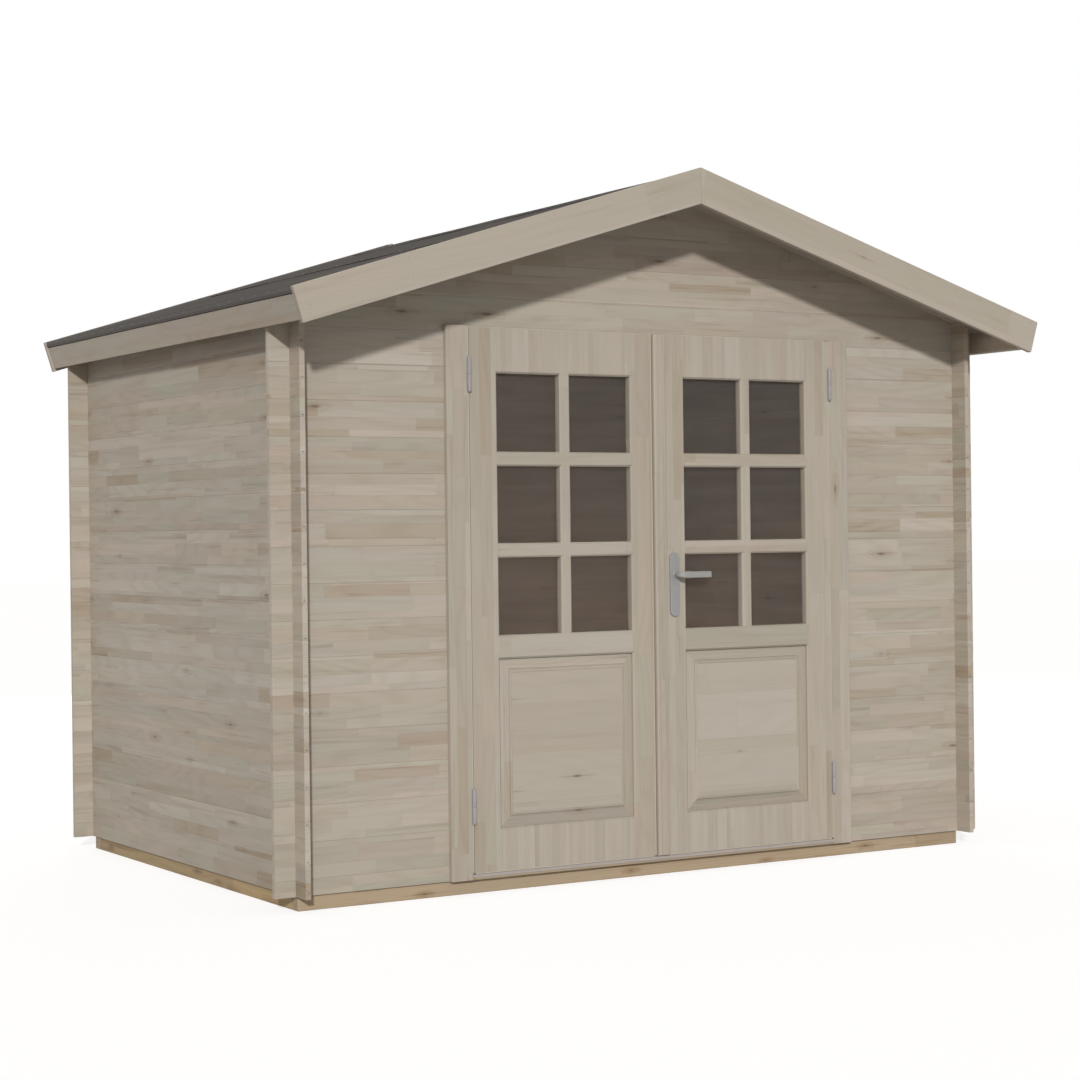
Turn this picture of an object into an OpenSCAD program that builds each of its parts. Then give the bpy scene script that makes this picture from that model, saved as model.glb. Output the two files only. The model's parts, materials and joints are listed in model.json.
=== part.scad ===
// Log cabin with a pair of glazed doors under a low gable roof.
// Lengths are in millimetres. The width runs along X, the depth along Y and
// the height along Z. The doors face -Y and the beams stand on Z = 0.

/* [Cabin] */
// width over the outer faces of the side walls
cabin_w = 2850; // [2200:10:4200]
// depth over the outer faces of the front and back walls
cabin_d = 1905; // [1400:5:3600]
// height of one full log
log_h = 121; // [90:1:160]
// thickness of a log, which is the wall's thickness
log_t = 19; // [16:0.1:24]
// how far the logs run on past each corner
log_end = 75; // [50:1:130]
// height of the part log at the foot of the front and back walls
first_h = 54.5; // [40:0.5:90]
// full logs from the part log up to the log over the doors
wall_courses = 15; // [13:1:17]
// how far the side walls rise above the foot of the log over the doors
eave_up = 104.4; // [70:0.1:130]

/* [Log joints] */
// width of the tongue along the top of a log
tongue_w = 7; // [5:0.5:12]
// height of the tongue
tongue_h = 7; // [5:0.5:10]
// bevel along the long edges of a log
log_bevel = 1; // [1:0.5:4]
// clearance between two logs, and between a log and what it meets
fit_gap = 0.3; // [0.2:0.1:1]

/* [Base] */
// height of the beams under the walls
beam_h = 50; // [40:1:100]
// width of the beams
beam_w = 45; // [40:1:100]
// how far the beams are set in from the wall's outer face
beam_inset = 12; // [0:1:15]
// number of joists between the front and back beams
joists = 3; // [2:1:6]
// thickness of the floor
floor_t = 16; // [12:1:28]

/* [Roof] */
// slope of the roof in degrees
roof_slope = 17.1; // [12:0.1:24]
// distance from the front wall to the front bargeboards' outer faces
front_over = 320; // [150:5:500]
// distance from the back wall to the back bargeboards' outer faces
back_over = 115; // [80:5:300]
// how far the bargeboards' top corners reach past the side walls
side_over = 134; // [100:1:200]
// thickness of the roof boards
deck_t = 16; // [12:1:28]
// thickness of the felt
felt_t = 3; // [2:0.5:5]
// width of a bargeboard
barge_w = 121; // [90:1:160]
// thickness of a bargeboard
barge_t = 20; // [15:1:28]
// how far a bargeboard stands above the felt
barge_up = 8; // [5:1:35]
// width of the fascia boards along the eaves
fascia_w = 86; // [60:1:120]
// thickness of the fascia boards
fascia_t = 16; // [12:1:25]
// how far the fascias' tops lie below the roof boards' tops
fascia_down = 13; // [0:1:15]
// width of the purlins
purlin_w = 44; // [34:1:70]
// depth of the ridge purlin below the roof boards
ridge_d = 70; // [50:1:140]
// depth of the side purlins
side_purlin_d = 45; // [34:1:90]
// distance down the slope from the ridge to the side purlins' middle
side_purlin_s = 637; // [300:1:1200]

/* [Doorway] */
// width over both door leaves
pair_w = 1544; // [1280:1:1860]
// how far the doors' centre lies to the right of the wall's centre
door_shift = 8; // [-100:1:100]
// how far the leaves' and posts' faces stand out of the wall
door_out = 20; // [10:1:30]
// visible width of a door post
post_w = 84; // [60:1:110]
// depth of the slot in a post that holds the ends of the logs
slot_d = 15; // [10:1:25]
// thickness of the post on the inside of the wall
post_in = 20; // [15:1:40]
// gap round the closed leaves
leaf_gap = 5; // [5:0.5:8]
// gap between the two closed leaves
meet_gap = 8; // [7:0.5:12]
// how far the stops lap behind the leaves' edges
stop_lap = 7; // [5:0.5:15]
// height of the metal strip under the leaves above the wall's foot
strip_top = 19; // [12:1:30]
// thickness of the metal strip
strip_t = 3; // [2:0.5:5]
// how far the log over the doors is cut up above its foot
head_cut = 21.5; // [0:0.5:30]

/* [Door leaves] */
// thickness of a leaf
leaf_t = 40; // [35:1:50]
// width of the stiles on the hinge sides
stile_w = 110; // [80:1:140]
// width of the left leaf's stile at the meeting edge
left_meet_w = 86; // [70:1:120]
// width of the right leaf's stile at the meeting edge, under the cover strip
right_meet_w = 138; // [120:1:160]
// height of the bottom rail
bottom_rail_h = 145; // [100:1:200]
// height of the panel's opening
panel_h = 581; // [400:1:700]
// height of the rail between the panel and the panes
mid_rail_h = 81; // [60:1:120]
// height of the top rail
top_rail_h = 155; // [100:1:220]
// thickness of the glass
glass_t = 4; // [3:1:8]
// how far the glass lies behind the leaf's face
glass_in = 24; // [15:1:28]
// thickness of the bottom panel's edge
panel_t = 12; // [9:1:18]
// how far the panel's middle is raised on both sides
panel_raise = 5; // [2:1:8]
// width of the panel's lower border
panel_border = 45; // [25:1:70]
// depth of the grooves that hold the glass and panel
groove_d = 9; // [6:1:14]
// width of the cover strip along the meeting edge
cover_w = 50; // [35:1:60]
// thickness of the cover strip
cover_t = 12; // [8:1:18]

/* [Hinges] */
// length of a hinge
hinge_l = 115; // [80:1:140]
// diameter of a hinge's barrel
barrel_d = 14; // [10:1:18]
// diameter of a hinge's pin
pin_d = 7; // [5:0.5:9]
// clearance round the pin
pin_gap = 0.3; // [0.2:0.1:0.6]
// thickness of a hinge plate
plate_t = 2; // [1.5:0.5:3]
// how far the hinge plates reach in behind the leaf's face
plate_in = 30; // [20:1:36]
// height of the lower hinges above the leaf's foot
low_hinge_up = 169; // [100:1:300]
// distance from the upper hinges' top down from the leaf's top
high_hinge_down = 104; // [60:1:300]

/* [Handle] */
// width of the handle plate
handle_plate_w = 41; // [35:1:60]
// height of the handle plate
handle_plate_h = 230; // [160:1:260]
// thickness of the handle plate
handle_plate_t = 8; // [4:1:10]
// distance from the meeting edge to the handle's axis
handle_in = 85; // [75:1:110]
// height of the handle's axis above the leaf's foot
handle_up = 1001; // [800:1:1150]
// how far the handle's axis lies above the plate's middle
handle_above = 35; // [20:1:70]
// length of the lever from its axis
lever_l = 129; // [100:1:150]
// height of the lever
lever_h = 22; // [14:1:26]
// thickness of the lever
lever_t = 12; // [8:1:18]
// gap between the handle plate and the lever
lever_off = 32; // [25:1:50]
// diameter of the lever's neck
neck_d = 18; // [14:1:22]
// diameter of the spindle through the leaf
spindle_d = 10; // [8:1:14]

/* [Hidden] */
$fn = 48;
quarter = log_h / 4;
cut_over = 5;
front_y = (front_over - cabin_d - back_over) / 2;
head_z = first_h + wall_courses * log_h;
eave_z = head_z + eave_up;
rise = tan(roof_slope);
apex_z = eave_z + cabin_w / 2 * rise;
gable_courses = round((apex_z - head_z) / log_h);
side_courses = wall_courses - 1;

// slope lengths are measured down from the ridge, along the roof boards' underside
roof_up = deck_t + felt_t + fit_gap;
barge_n = roof_up + barge_up;
fascia_back = 6;
felt_back = 2;
barge_s = (cabin_w / 2 + side_over - barge_n * sin(roof_slope)) / cos(roof_slope);
fascia_s = barge_s - fascia_back;
felt_s = barge_s - felt_back;
deck_s = fascia_s - fascia_t - fit_gap;
roof_y0 = -front_over + barge_t + fit_gap;
roof_y1 = cabin_d + back_over - barge_t - fit_gap;

floor_edge = 2;
door_x = cabin_w / 2 + door_shift;
leaf_x0 = door_x - pair_w / 2;
leaf_x1 = door_x + pair_w / 2;
light_w = (pair_w - meet_gap - left_meet_w - right_meet_w) / 2 - stile_w;
left_leaf_w = stile_w + light_w + left_meet_w;
right_leaf_w = stile_w + light_w + right_meet_w;
meet_x = leaf_x0 + left_leaf_w + meet_gap;
leaf_z0 = strip_top + leaf_gap;
door_top = head_z + head_cut;
leaf_h = door_top - leaf_gap - leaf_z0;
post_x0 = leaf_x0 - leaf_gap - post_w;
post_x1 = leaf_x1 + leaf_gap + post_w;
post_back = log_t + post_in;
stop_y = leaf_t - door_out + leaf_gap;
stop_w = leaf_gap + stop_lap;
slot_spare = 2;
log_stop = slot_d - slot_spare;
board_t = strip_top - strip_t;

panel_z = bottom_rail_h;
mid_z = panel_z + panel_h;
light_z = mid_z + mid_rail_h;
top_z = leaf_h - top_rail_h;
light_h = top_z - light_z;
groove_gap = 1;
panel_y = (leaf_t - panel_t) / 2;

hinge_y = -barrel_d / 2;
knuckle_l = (hinge_l - fit_gap) / 2;
pin_spare = 8;
pin_up = knuckle_l - pin_spare;
lip_t = 3;

// moves from the front left corner of the walls' foot to the part's frame
module placed() {
    translate([-cabin_w / 2, front_y, beam_h]) children();
}

// extrudes a Y-Z outline along X from x0 to x1
module along_x(x0, x1, outline) {
    translate([x0, 0, 0]) rotate([90, 0, 90]) linear_extrude(height = x1 - x0)
        polygon(outline);
}

// extrudes an X-Z outline along Y from y0 to y1
module along_y(y0, y1, outline) {
    translate([0, y1, 0]) rotate([90, 0, 0]) linear_extrude(height = y1 - y0)
        polygon(outline);
}

function roof_z(x) = apex_z - abs(x - cabin_w / 2) * rise;

// log section from a0 to a0 + log_t across the wall and z0 to z1 up it
function log_outline(a0, z0, z1, groove, tongue) =
    let (m = a0 + log_t / 2, tw = tongue_w / 2, gw = tongue_w / 2 + fit_gap * 2,
        lo = z0 + fit_gap / 2, hi = z1 - fit_gap / 2, b = log_bevel)
    concat(
        [[a0, lo + b], [a0 + b, lo]],
        groove ? [[m - gw, lo], [m - gw, lo + tongue_h + 1],
            [m + gw, lo + tongue_h + 1], [m + gw, lo]] : [],
        [[a0 + log_t - b, lo], [a0 + log_t, lo + b],
            [a0 + log_t, hi - b], [a0 + log_t - b, hi]],
        tongue ? [[m + tw, hi], [m + tw - 1, hi + tongue_h],
            [m - tw + 1, hi + tongue_h], [m - tw, hi]] : [],
        [[a0 + b, hi], [a0, hi - b]]);

// box cut across a log where another log crosses it
module cross_cut(x0, y0, z0, z1) {
    translate([x0 - fit_gap, y0 - fit_gap, z0])
        cube([log_t + 2 * fit_gap, log_t + 2 * fit_gap, z1 - z0]);
}

// both cuts of a log from z0 to z1, low and high above and below its ends
module cross_cuts(x0, y0, z0, z1, low, high) {
    if (low > 0) cross_cut(x0, y0, z0 - cut_over, z0 + low + fit_gap / 2);
    cross_cut(x0, y0, z1 - high - fit_gap / 2, z1 + tongue_h + cut_over);
}

// one log of the front or back wall
module x_log(x0, x1, y0, z0, z1, low, groove, tongue) {
    difference() {
        along_x(x0, x1, log_outline(y0, z0, z1, groove, tongue));
        if (x0 < 0) cross_cuts(0, y0, z0, z1, low, quarter);
        if (x1 > cabin_w) cross_cuts(cabin_w - log_t, y0, z0, z1, low, quarter);
    }
}

// logs of the front or back wall up to the door head
module x_wall(x0, x1, y0) {
    x_log(x0, x1, y0, 0, first_h, 0, false, true);
    for (k = [0:wall_courses - 1]) x_log(x0, x1, y0, first_h + k * log_h,
        first_h + (k + 1) * log_h, quarter, true, k < wall_courses - 1 || x1 - x0 > cabin_w);
}

// solid below the roof boards' underside
module under_roof(gap) {
    reach = log_end + cut_over;
    along_y(-reach, cabin_d + reach, [[-reach, -cut_over], [cabin_w + reach, -cut_over],
        [cabin_w + reach, roof_z(cabin_w + reach) - gap], [cabin_w / 2, apex_z - gap],
        [-reach, roof_z(-reach) - gap]]);
}

// logs of a gable from the door head up
module gable_logs(y0) {
    difference() {
        intersection() {
            for (k = [0:gable_courses - 1]) {
                gable_log(k, y0);
            }
            under_roof(fit_gap);
        }
        ridge_purlin_body(fit_gap, -cut_over, cabin_d + cut_over);
        side_purlin_body(fit_gap, -cut_over, cabin_d + cut_over, 1);
        side_purlin_body(fit_gap, -cut_over, cabin_d + cut_over, -1);
    }
}

module gable_log(k, y0) {
    top = k == gable_courses - 1;
    z0 = head_z + k * log_h;
    z1 = top ? apex_z + log_h : z0 + log_h;
    half = k == 0 ? cabin_w / 2 + log_end : (apex_z - z0) / rise;
    difference() {
        along_x(cabin_w / 2 - half, cabin_w / 2 + half, log_outline(y0, z0, z1, true, !top));
        if (k == 0) cross_cut(0, y0, z0 - cut_over, z0 + quarter + fit_gap / 2);
        if (k == 0) cross_cut(cabin_w - log_t, y0, z0 - cut_over, z0 + quarter + fit_gap / 2);
    }
}

// one log of a side wall
module y_log(x0, z0, z1, low, groove, tongue) {
    difference() {
        along_y(-log_end, cabin_d + log_end, log_outline(x0, z0, z1, groove, tongue));
        cross_cuts(x0, 0, z0, z1, low, quarter);
        cross_cuts(x0, cabin_d - log_t, z0, z1, low, quarter);
    }
}

// logs of a side wall with its outer or inner face at x0
module y_wall(x0) {
    foot = first_h + log_h / 2;
    y_log(x0, 0, foot, first_h - quarter, false, true);
    for (k = [0:side_courses - 1]) y_log(x0, foot + k * log_h, foot + (k + 1) * log_h,
        quarter, true, true);
    top_log(x0, foot + side_courses * log_h);
}

// top log of a side wall, bevelled to the roof
module top_log(x0, z0) {
    intersection() {
        difference() {
            along_y(-log_end, cabin_d + log_end,
                log_outline(x0, z0, eave_z + log_t, true, false));
            for (y0 = [0, cabin_d - log_t]) cross_cut(x0, y0, z0 - cut_over,
                z0 + quarter + fit_gap / 2);
            for (y0 = [0, cabin_d - log_t]) cross_cut(x0, y0, head_z + quarter - fit_gap / 2,
                eave_z + log_h);
        }
        under_roof(fit_gap);
    }
}

// box from s0 to s1 down the slope, n0 to n1 above the boards' underside
module slope_box(side, s0, s1, n0, n1, y0, y1) {
    translate([cabin_w / 2, 0, apex_z]) mirror([side < 0 ? 1 : 0, 0, 0]) rotate([0, roof_slope, 0])
        translate([s0, y0, n0]) cube([s1 - s0, y1 - y0, n1 - n0]);
}

// half space on one side of the ridge
module ridge_side(side) {
    reach = cabin_w + side_over;
    translate([side > 0 ? cabin_w / 2 + fit_gap / 2 : cabin_w / 2 - fit_gap / 2 - reach,
        -front_over - cut_over, 0])
        cube([reach, cabin_d + front_over + back_over + 2 * cut_over, apex_z + log_h]);
}

// board lying on one slope, cut upright at the ridge
module slope_board(side, s1, n0, n1, y0, y1) {
    intersection() {
        slope_box(side, -barge_w, s1, n0, n1, y0, y1);
        ridge_side(side);
    }
}

module ridge_purlin_body(gap, y0, y1) {
    half = purlin_w / 2 + gap;
    top = apex_z - fit_gap + gap;
    along_y(y0, y1, [[cabin_w / 2 - half, apex_z - ridge_d - gap],
        [cabin_w / 2 + half, apex_z - ridge_d - gap],
        [cabin_w / 2 + half, top - half * rise], [cabin_w / 2, top],
        [cabin_w / 2 - half, top - half * rise]]);
}

module side_purlin_body(gap, y0, y1, side) {
    slope_box(side, side_purlin_s - purlin_w / 2 - gap, side_purlin_s + purlin_w / 2 + gap,
        -side_purlin_d - gap, -fit_gap + gap, y0, y1);
}

// beams, joists and floor
module x_beam(y0) {
    translate([beam_inset, y0, -beam_h])
        cube([cabin_w - 2 * beam_inset, beam_w, beam_h]);
}

module y_beam(x0) {
    y0 = beam_inset + beam_w + fit_gap;
    translate([x0, y0, -beam_h]) cube([beam_w, cabin_d - 2 * y0, beam_h]);
}

module front_sill_beam() {
    color("#bfa37a") placed() x_beam(beam_inset);
}

module back_sill_beam() {
    color("#bfa37a") placed() x_beam(cabin_d - beam_inset - beam_w);
}

module left_sill_beam() {
    color("#bfa37a") placed() y_beam(beam_inset);
}

module right_sill_beam() {
    color("#bfa37a") placed() y_beam(cabin_w - beam_inset - beam_w);
}

module floor_joists() {
    x0 = beam_inset + beam_w + fit_gap;
    step = (cabin_d - beam_w) / (joists + 1);
    color("#bfa37a") placed() for (k = [1:joists])
        translate([x0, k * step, -beam_h]) cube([cabin_w - 2 * x0, beam_w, beam_h]);
}

module floor_deck() {
    edge = log_t + floor_edge;
    color("#c9b08a") placed() difference() {
        translate([edge, edge, 0]) cube([cabin_w - 2 * edge, cabin_d - 2 * edge, floor_t]);
        translate([post_x0 - floor_edge, 0, -cut_over]) cube([post_x1 - post_x0 + 2 * floor_edge,
            post_back + floor_edge, floor_t + 2 * cut_over]);
    }
}

module front_wall_left_logs() {
    color("#c8b08c") placed() x_wall(-log_end, post_x0 + log_stop, 0);
}

module front_wall_right_logs() {
    color("#c8b08c") placed() x_wall(post_x1 - log_stop, cabin_w + log_end, 0);
}

module front_gable_logs() {
    color("#c8b08c") placed() difference() {
        gable_logs(0);
        translate([post_x0 - fit_gap, -cut_over, head_z - cut_over])
            cube([post_x1 - post_x0 + 2 * fit_gap, log_t + 2 * cut_over, head_cut + cut_over]);
    }
}

module back_wall_logs() {
    color("#c8b08c") placed() x_wall(-log_end, cabin_w + log_end, cabin_d - log_t);
}

module back_gable_logs() {
    color("#c8b08c") placed() gable_logs(cabin_d - log_t);
}

module left_wall_logs() {
    color("#c8b08c") placed() y_wall(0);
}

module right_wall_logs() {
    color("#c8b08c") placed() y_wall(cabin_w - log_t);
}

module ridge_purlin() {
    color("#c9b08a") placed() ridge_purlin_body(0, roof_y0, roof_y1);
}

module side_purlins() {
    color("#c9b08a") placed() {
        side_purlin_body(0, 0, cabin_d, -1);
        side_purlin_body(0, 0, cabin_d, 1);
    }
}

module left_roof_deck() {
    color("#c9b08a") placed() slope_board(-1, deck_s, 0, deck_t, roof_y0, roof_y1);
}

module right_roof_deck() {
    color("#c9b08a") placed() slope_board(1, deck_s, 0, deck_t, roof_y0, roof_y1);
}

// felt on one slope, folded down over the fascia's edge
module roof_felt(side) {
    color("#55524f") placed() {
        slope_board(side, felt_s, deck_t + fit_gap, roof_up, roof_y0, roof_y1);
        slope_box(side, fascia_s + fit_gap, felt_s, deck_t - fascia_down + fit_gap,
            roof_up - felt_t / 2, roof_y0, roof_y1);
    }
}

module left_roof_felt() {
    roof_felt(-1);
}

module right_roof_felt() {
    roof_felt(1);
}

module bargeboard(side, y0) {
    color("#cbb592") placed()
        slope_board(side, barge_s, barge_n - barge_w, barge_n, y0, y0 + barge_t);
}

module front_left_bargeboard() {
    bargeboard(-1, -front_over);
}

module front_right_bargeboard() {
    bargeboard(1, -front_over);
}

module back_left_bargeboard() {
    bargeboard(-1, cabin_d + back_over - barge_t);
}

module back_right_bargeboard() {
    bargeboard(1, cabin_d + back_over - barge_t);
}

module fascia(side) {
    color("#cbb592") placed() slope_box(side, fascia_s - fascia_t, fascia_s,
        deck_t - fascia_down - fascia_w, deck_t - fascia_down, roof_y0, roof_y1);
}

module left_fascia() {
    fascia(-1);
}

module right_fascia() {
    fascia(1);
}

// upright post with a slot for the logs and a stop behind the leaf, its
// outer edge at X = 0 and its stop towards +X
module post_body() {
    h = door_top - 2 * fit_gap;
    y0 = -door_out;
    difference() {
        translate([0, 0, fit_gap]) linear_extrude(height = h) polygon([[0, y0], [post_w, y0],
            [post_w, stop_y], [post_w + stop_w, stop_y], [post_w + stop_w, post_back],
            [0, post_back], [0, log_t + fit_gap], [slot_d, log_t + fit_gap],
            [slot_d, -fit_gap], [0, -fit_gap]]);
        for (z = hinge_feet()) translate([post_w - plate_t - fit_gap, y0 - cut_over,
            leaf_z0 + z - fit_gap]) cube([plate_t + cut_over, plate_in + cut_over + fit_gap,
            hinge_l + 2 * fit_gap]);
    }
}

function hinge_feet() = [low_hinge_up, leaf_h - high_hinge_down - hinge_l];

module left_door_post() {
    color("#c8b493") placed() translate([post_x0, 0, 0]) post_body();
}

module right_door_post() {
    color("#c8b493") placed() translate([post_x1, 0, 0]) mirror([1, 0, 0]) post_body();
}

module door_head_stop() {
    z0 = door_top - stop_w;
    z1 = door_top + post_in * 2;
    y0 = log_t + fit_gap;
    x0 = leaf_x0 + stop_lap + fit_gap;
    x1 = leaf_x1 - stop_lap - fit_gap;
    color("#c8b493") placed() along_x(x0, x1, [[stop_y, z0], [post_back, z0],
        [post_back, z1], [y0, z1], [y0, door_top + fit_gap], [stop_y, door_top + fit_gap]]);
}

// cuts where the threshold passes between the posts' stops
module stop_notches() {
    w = stop_w + fit_gap + cut_over;
    for (x = [leaf_x0 - leaf_gap - cut_over, leaf_x1 + leaf_gap + cut_over - w])
        translate([x, stop_y - fit_gap, -cut_over])
            cube([w, post_back, strip_top + stop_w + 2 * cut_over]);
}

module threshold_board() {
    y0 = -door_out + lip_t;
    color("#bfa37a") placed() difference() {
        translate([leaf_x0 - leaf_gap + fit_gap, y0, fit_gap])
            cube([pair_w + 2 * leaf_gap - 2 * fit_gap, post_back - y0, board_t - 2 * fit_gap]);
        stop_notches();
    }
}

// metal strip with a lip down its front and a stop behind the leaves
module threshold_strip() {
    y0 = -door_out;
    y1 = y0 + lip_t - fit_gap;
    z0 = board_t / 2;
    z1 = strip_top + stop_w;
    color("#b4b8bc") placed() difference() {
        along_x(leaf_x0 - leaf_gap + fit_gap, leaf_x1 + leaf_gap - fit_gap,
            [[y0, z0], [y1, z0], [y1, board_t], [post_back, board_t], [post_back, z1],
            [stop_y, z1], [stop_y, strip_top], [y0, strip_top]]);
        stop_notches();
    }
}

// hinge half at its axis, the plate towards -X: a pin stands up from a post
// half, and a leaf half has a bore for it
module hinge_half(on_post) {
    z0 = on_post ? 0 : knuckle_l + fit_gap;
    plate_x = leaf_gap / 2;
    face = -hinge_y;
    back = face + 1;
    difference() {
        union() {
            translate([0, 0, z0]) cylinder(d = barrel_d, h = knuckle_l);
            translate([-plate_x - plate_t, 0, z0]) cube([plate_t, back + 1, knuckle_l]);
            translate([-plate_x - plate_t, back, 0])
                cube([plate_t, face + plate_in - back, hinge_l]);
            if (on_post) translate([0, 0, knuckle_l - 1]) cylinder(d = pin_d, h = pin_up + 1);
        }
        if (!on_post) translate([0, 0, z0 - 1])
            cylinder(d = pin_d + 2 * pin_gap, h = pin_up + 2 + pin_gap);
    }
}

module hinge_pair(x, flip, on_post) {
    for (z = hinge_feet()) translate([x, hinge_y - door_out, leaf_z0 + z])
        mirror([flip < 0 ? 1 : 0, 0, 0]) hinge_half(on_post);
}

module left_post_hinges() {
    color("#9aa0a4") placed() hinge_pair(leaf_x0 - leaf_gap / 2, 1, true);
}

module right_post_hinges() {
    color("#9aa0a4") placed() hinge_pair(leaf_x1 + leaf_gap / 2, -1, true);
}

module left_door_hinges() {
    color("#9aa0a4") placed() hinge_pair(leaf_x0 - leaf_gap / 2, -1, false);
}

module right_door_hinges() {
    color("#9aa0a4") placed() hinge_pair(leaf_x1 + leaf_gap / 2, 1, false);
}

// moves to a leaf's own frame: the hinge edge, the front face and the foot
module leaf_frame(x, flip) {
    placed() translate([x, -door_out, leaf_z0]) mirror([flip < 0 ? 1 : 0, 0, 0]) children();
}

// grooves for the glass and panel round the openings that start at stile_w
module leaf_grooves() {
    translate([stile_w - groove_d, glass_in - fit_gap, light_z - groove_d])
        cube([light_w + 2 * groove_d, glass_t + 2 * fit_gap, light_h + 2 * groove_d]);
    translate([stile_w - groove_d, panel_y - fit_gap, panel_z - groove_d])
        cube([light_w + 2 * groove_d, panel_t + 2 * fit_gap, panel_h + 2 * groove_d]);
}

// both stiles of a leaf w wide
module leaf_stiles(w) {
    inner = stile_w + light_w;
    difference() {
        union() {
            cube([stile_w, leaf_t, leaf_h]);
            translate([inner, 0, 0]) cube([w - inner, leaf_t, leaf_h]);
        }
        leaf_grooves();
        for (z = hinge_feet()) translate([-1, -1, z - fit_gap])
            cube([plate_t + fit_gap + 1, plate_in + fit_gap + 1, hinge_l + 2 * fit_gap]);
    }
}

// the three rails of a leaf
module leaf_rails() {
    rails = [[0, bottom_rail_h], [mid_z, mid_rail_h], [top_z, top_rail_h]];
    difference() {
        for (r = rails) translate([stile_w + fit_gap, 0, r[0]])
            cube([light_w - 2 * fit_gap, leaf_t, r[1]]);
        leaf_grooves();
    }
}

// raised panel, its edges in the grooves
module leaf_panel() {
    edge = groove_d - groove_gap;
    translate([stile_w - edge, panel_y, panel_z - edge])
        cube([light_w + 2 * edge, panel_t, panel_h + 2 * edge]);
    translate([stile_w + panel_border, panel_y - panel_raise, panel_z + panel_border])
        cube([light_w - 2 * panel_border, panel_t + 2 * panel_raise,
            panel_h - 2 * panel_border]);
}

module leaf_glass() {
    edge = groove_d - groove_gap;
    translate([stile_w - edge, glass_in, light_z - edge])
        cube([light_w + 2 * edge, glass_t, light_h + 2 * edge]);
}

module left_door_stiles() {
    color("#c8b493") leaf_frame(leaf_x0, 1) leaf_stiles(left_leaf_w);
}

module left_door_rails() {
    color("#c8b493") leaf_frame(leaf_x0, 1) leaf_rails();
}

module left_door_panel() {
    color("#cbb998") leaf_frame(leaf_x0, 1) leaf_panel();
}

module left_door_glass() {
    color("#8a9496", 0.4) leaf_frame(leaf_x0, 1) leaf_glass();
}

module right_door_stiles() {
    color("#c8b493") difference() {
        leaf_frame(leaf_x1, -1) leaf_stiles(right_leaf_w);
        at_handle() rotate([-90, 0, 0]) translate([0, 0, -1])
            cylinder(d = neck_d, h = leaf_t + 2);
    }
}

module right_door_rails() {
    color("#c8b493") leaf_frame(leaf_x1, -1) leaf_rails();
}

module right_door_panel() {
    color("#cbb998") leaf_frame(leaf_x1, -1) leaf_panel();
}

module right_door_glass() {
    color("#8a9496", 0.4) leaf_frame(leaf_x1, -1) leaf_glass();
}

// strip on the right leaf's face along its meeting edge
module meeting_strip() {
    color("#c8b493") placed() translate([meet_x, -door_out - cover_t, leaf_z0])
        cube([cover_w, cover_t, leaf_h]);
}

// moves to the handle's axis on the right leaf's face
module at_handle() {
    placed() translate([meet_x + handle_in, -door_out, leaf_z0 + handle_up]) children();
}

// plate with round ends on the X-Z plane, from y0 to y0 + handle_plate_t
module handle_plate(y0) {
    r = handle_plate_w / 2;
    span = handle_plate_h / 2 - r;
    difference() {
        translate([0, y0 + handle_plate_t, -handle_above]) rotate([90, 0, 0])
            linear_extrude(height = handle_plate_t) union() {
                translate([0, span]) circle(r = r);
                translate([0, -span]) circle(r = r);
                square([2 * r, 2 * span], center = true);
            }
        translate([0, y0 - 1, 0]) rotate([-90, 0, 0])
            cylinder(d = neck_d + 2 * pin_gap, h = handle_plate_t + 2);
    }
}

module handle_plates() {
    color("#9aa0a4") at_handle() {
        handle_plate(-handle_plate_t);
        handle_plate(leaf_t);
    }
}

// levers on both faces of the leaf joined by the spindle
module handle_lever() {
    out = handle_plate_t + lever_off;
    color("#9aa0a4") at_handle() {
        translate([0, -out - lever_t / 2, 0]) rotate([-90, 0, 0])
            cylinder(d = spindle_d, h = leaf_t + 2 * out + lever_t);
        for (y = [-out - lever_t / 2, leaf_t + fit_gap]) translate([0, y, 0])
            rotate([-90, 0, 0]) cylinder(d = neck_d, h = out + lever_t / 2 - fit_gap);
        for (y = [-out - lever_t, leaf_t + out])
            translate([-lever_h / 2, y, -lever_h / 2]) cube([lever_l + lever_h / 2, lever_t, lever_h]);
    }
}

front_sill_beam();
back_sill_beam();
left_sill_beam();
right_sill_beam();
floor_joists();
floor_deck();
front_wall_left_logs();
front_wall_right_logs();
front_gable_logs();
back_wall_logs();
back_gable_logs();
left_wall_logs();
right_wall_logs();
ridge_purlin();
side_purlins();
left_roof_deck();
right_roof_deck();
left_roof_felt();
right_roof_felt();
front_left_bargeboard();
front_right_bargeboard();
back_left_bargeboard();
back_right_bargeboard();
left_fascia();
right_fascia();
left_door_post();
right_door_post();
door_head_stop();
threshold_board();
threshold_strip();
left_post_hinges();
right_post_hinges();
left_door_stiles();
left_door_rails();
left_door_panel();
left_door_glass();
left_door_hinges();
right_door_stiles();
right_door_rails();
right_door_panel();
right_door_glass();
right_door_hinges();
meeting_strip();
handle_plates();
handle_lever();
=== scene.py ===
"""Looks of a log cabin with a pair of glazed doors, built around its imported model.

Lengths are in metres. The doors face -Y, the cabin stands on Z = 0 and X = 0 is the
middle of its width.
"""

import json
import logging
import math
from collections.abc import Callable, Iterable, Sequence
from dataclasses import dataclass, field, replace
from enum import Enum

import bmesh
import bpy
from mathutils import Matrix, Vector

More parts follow.
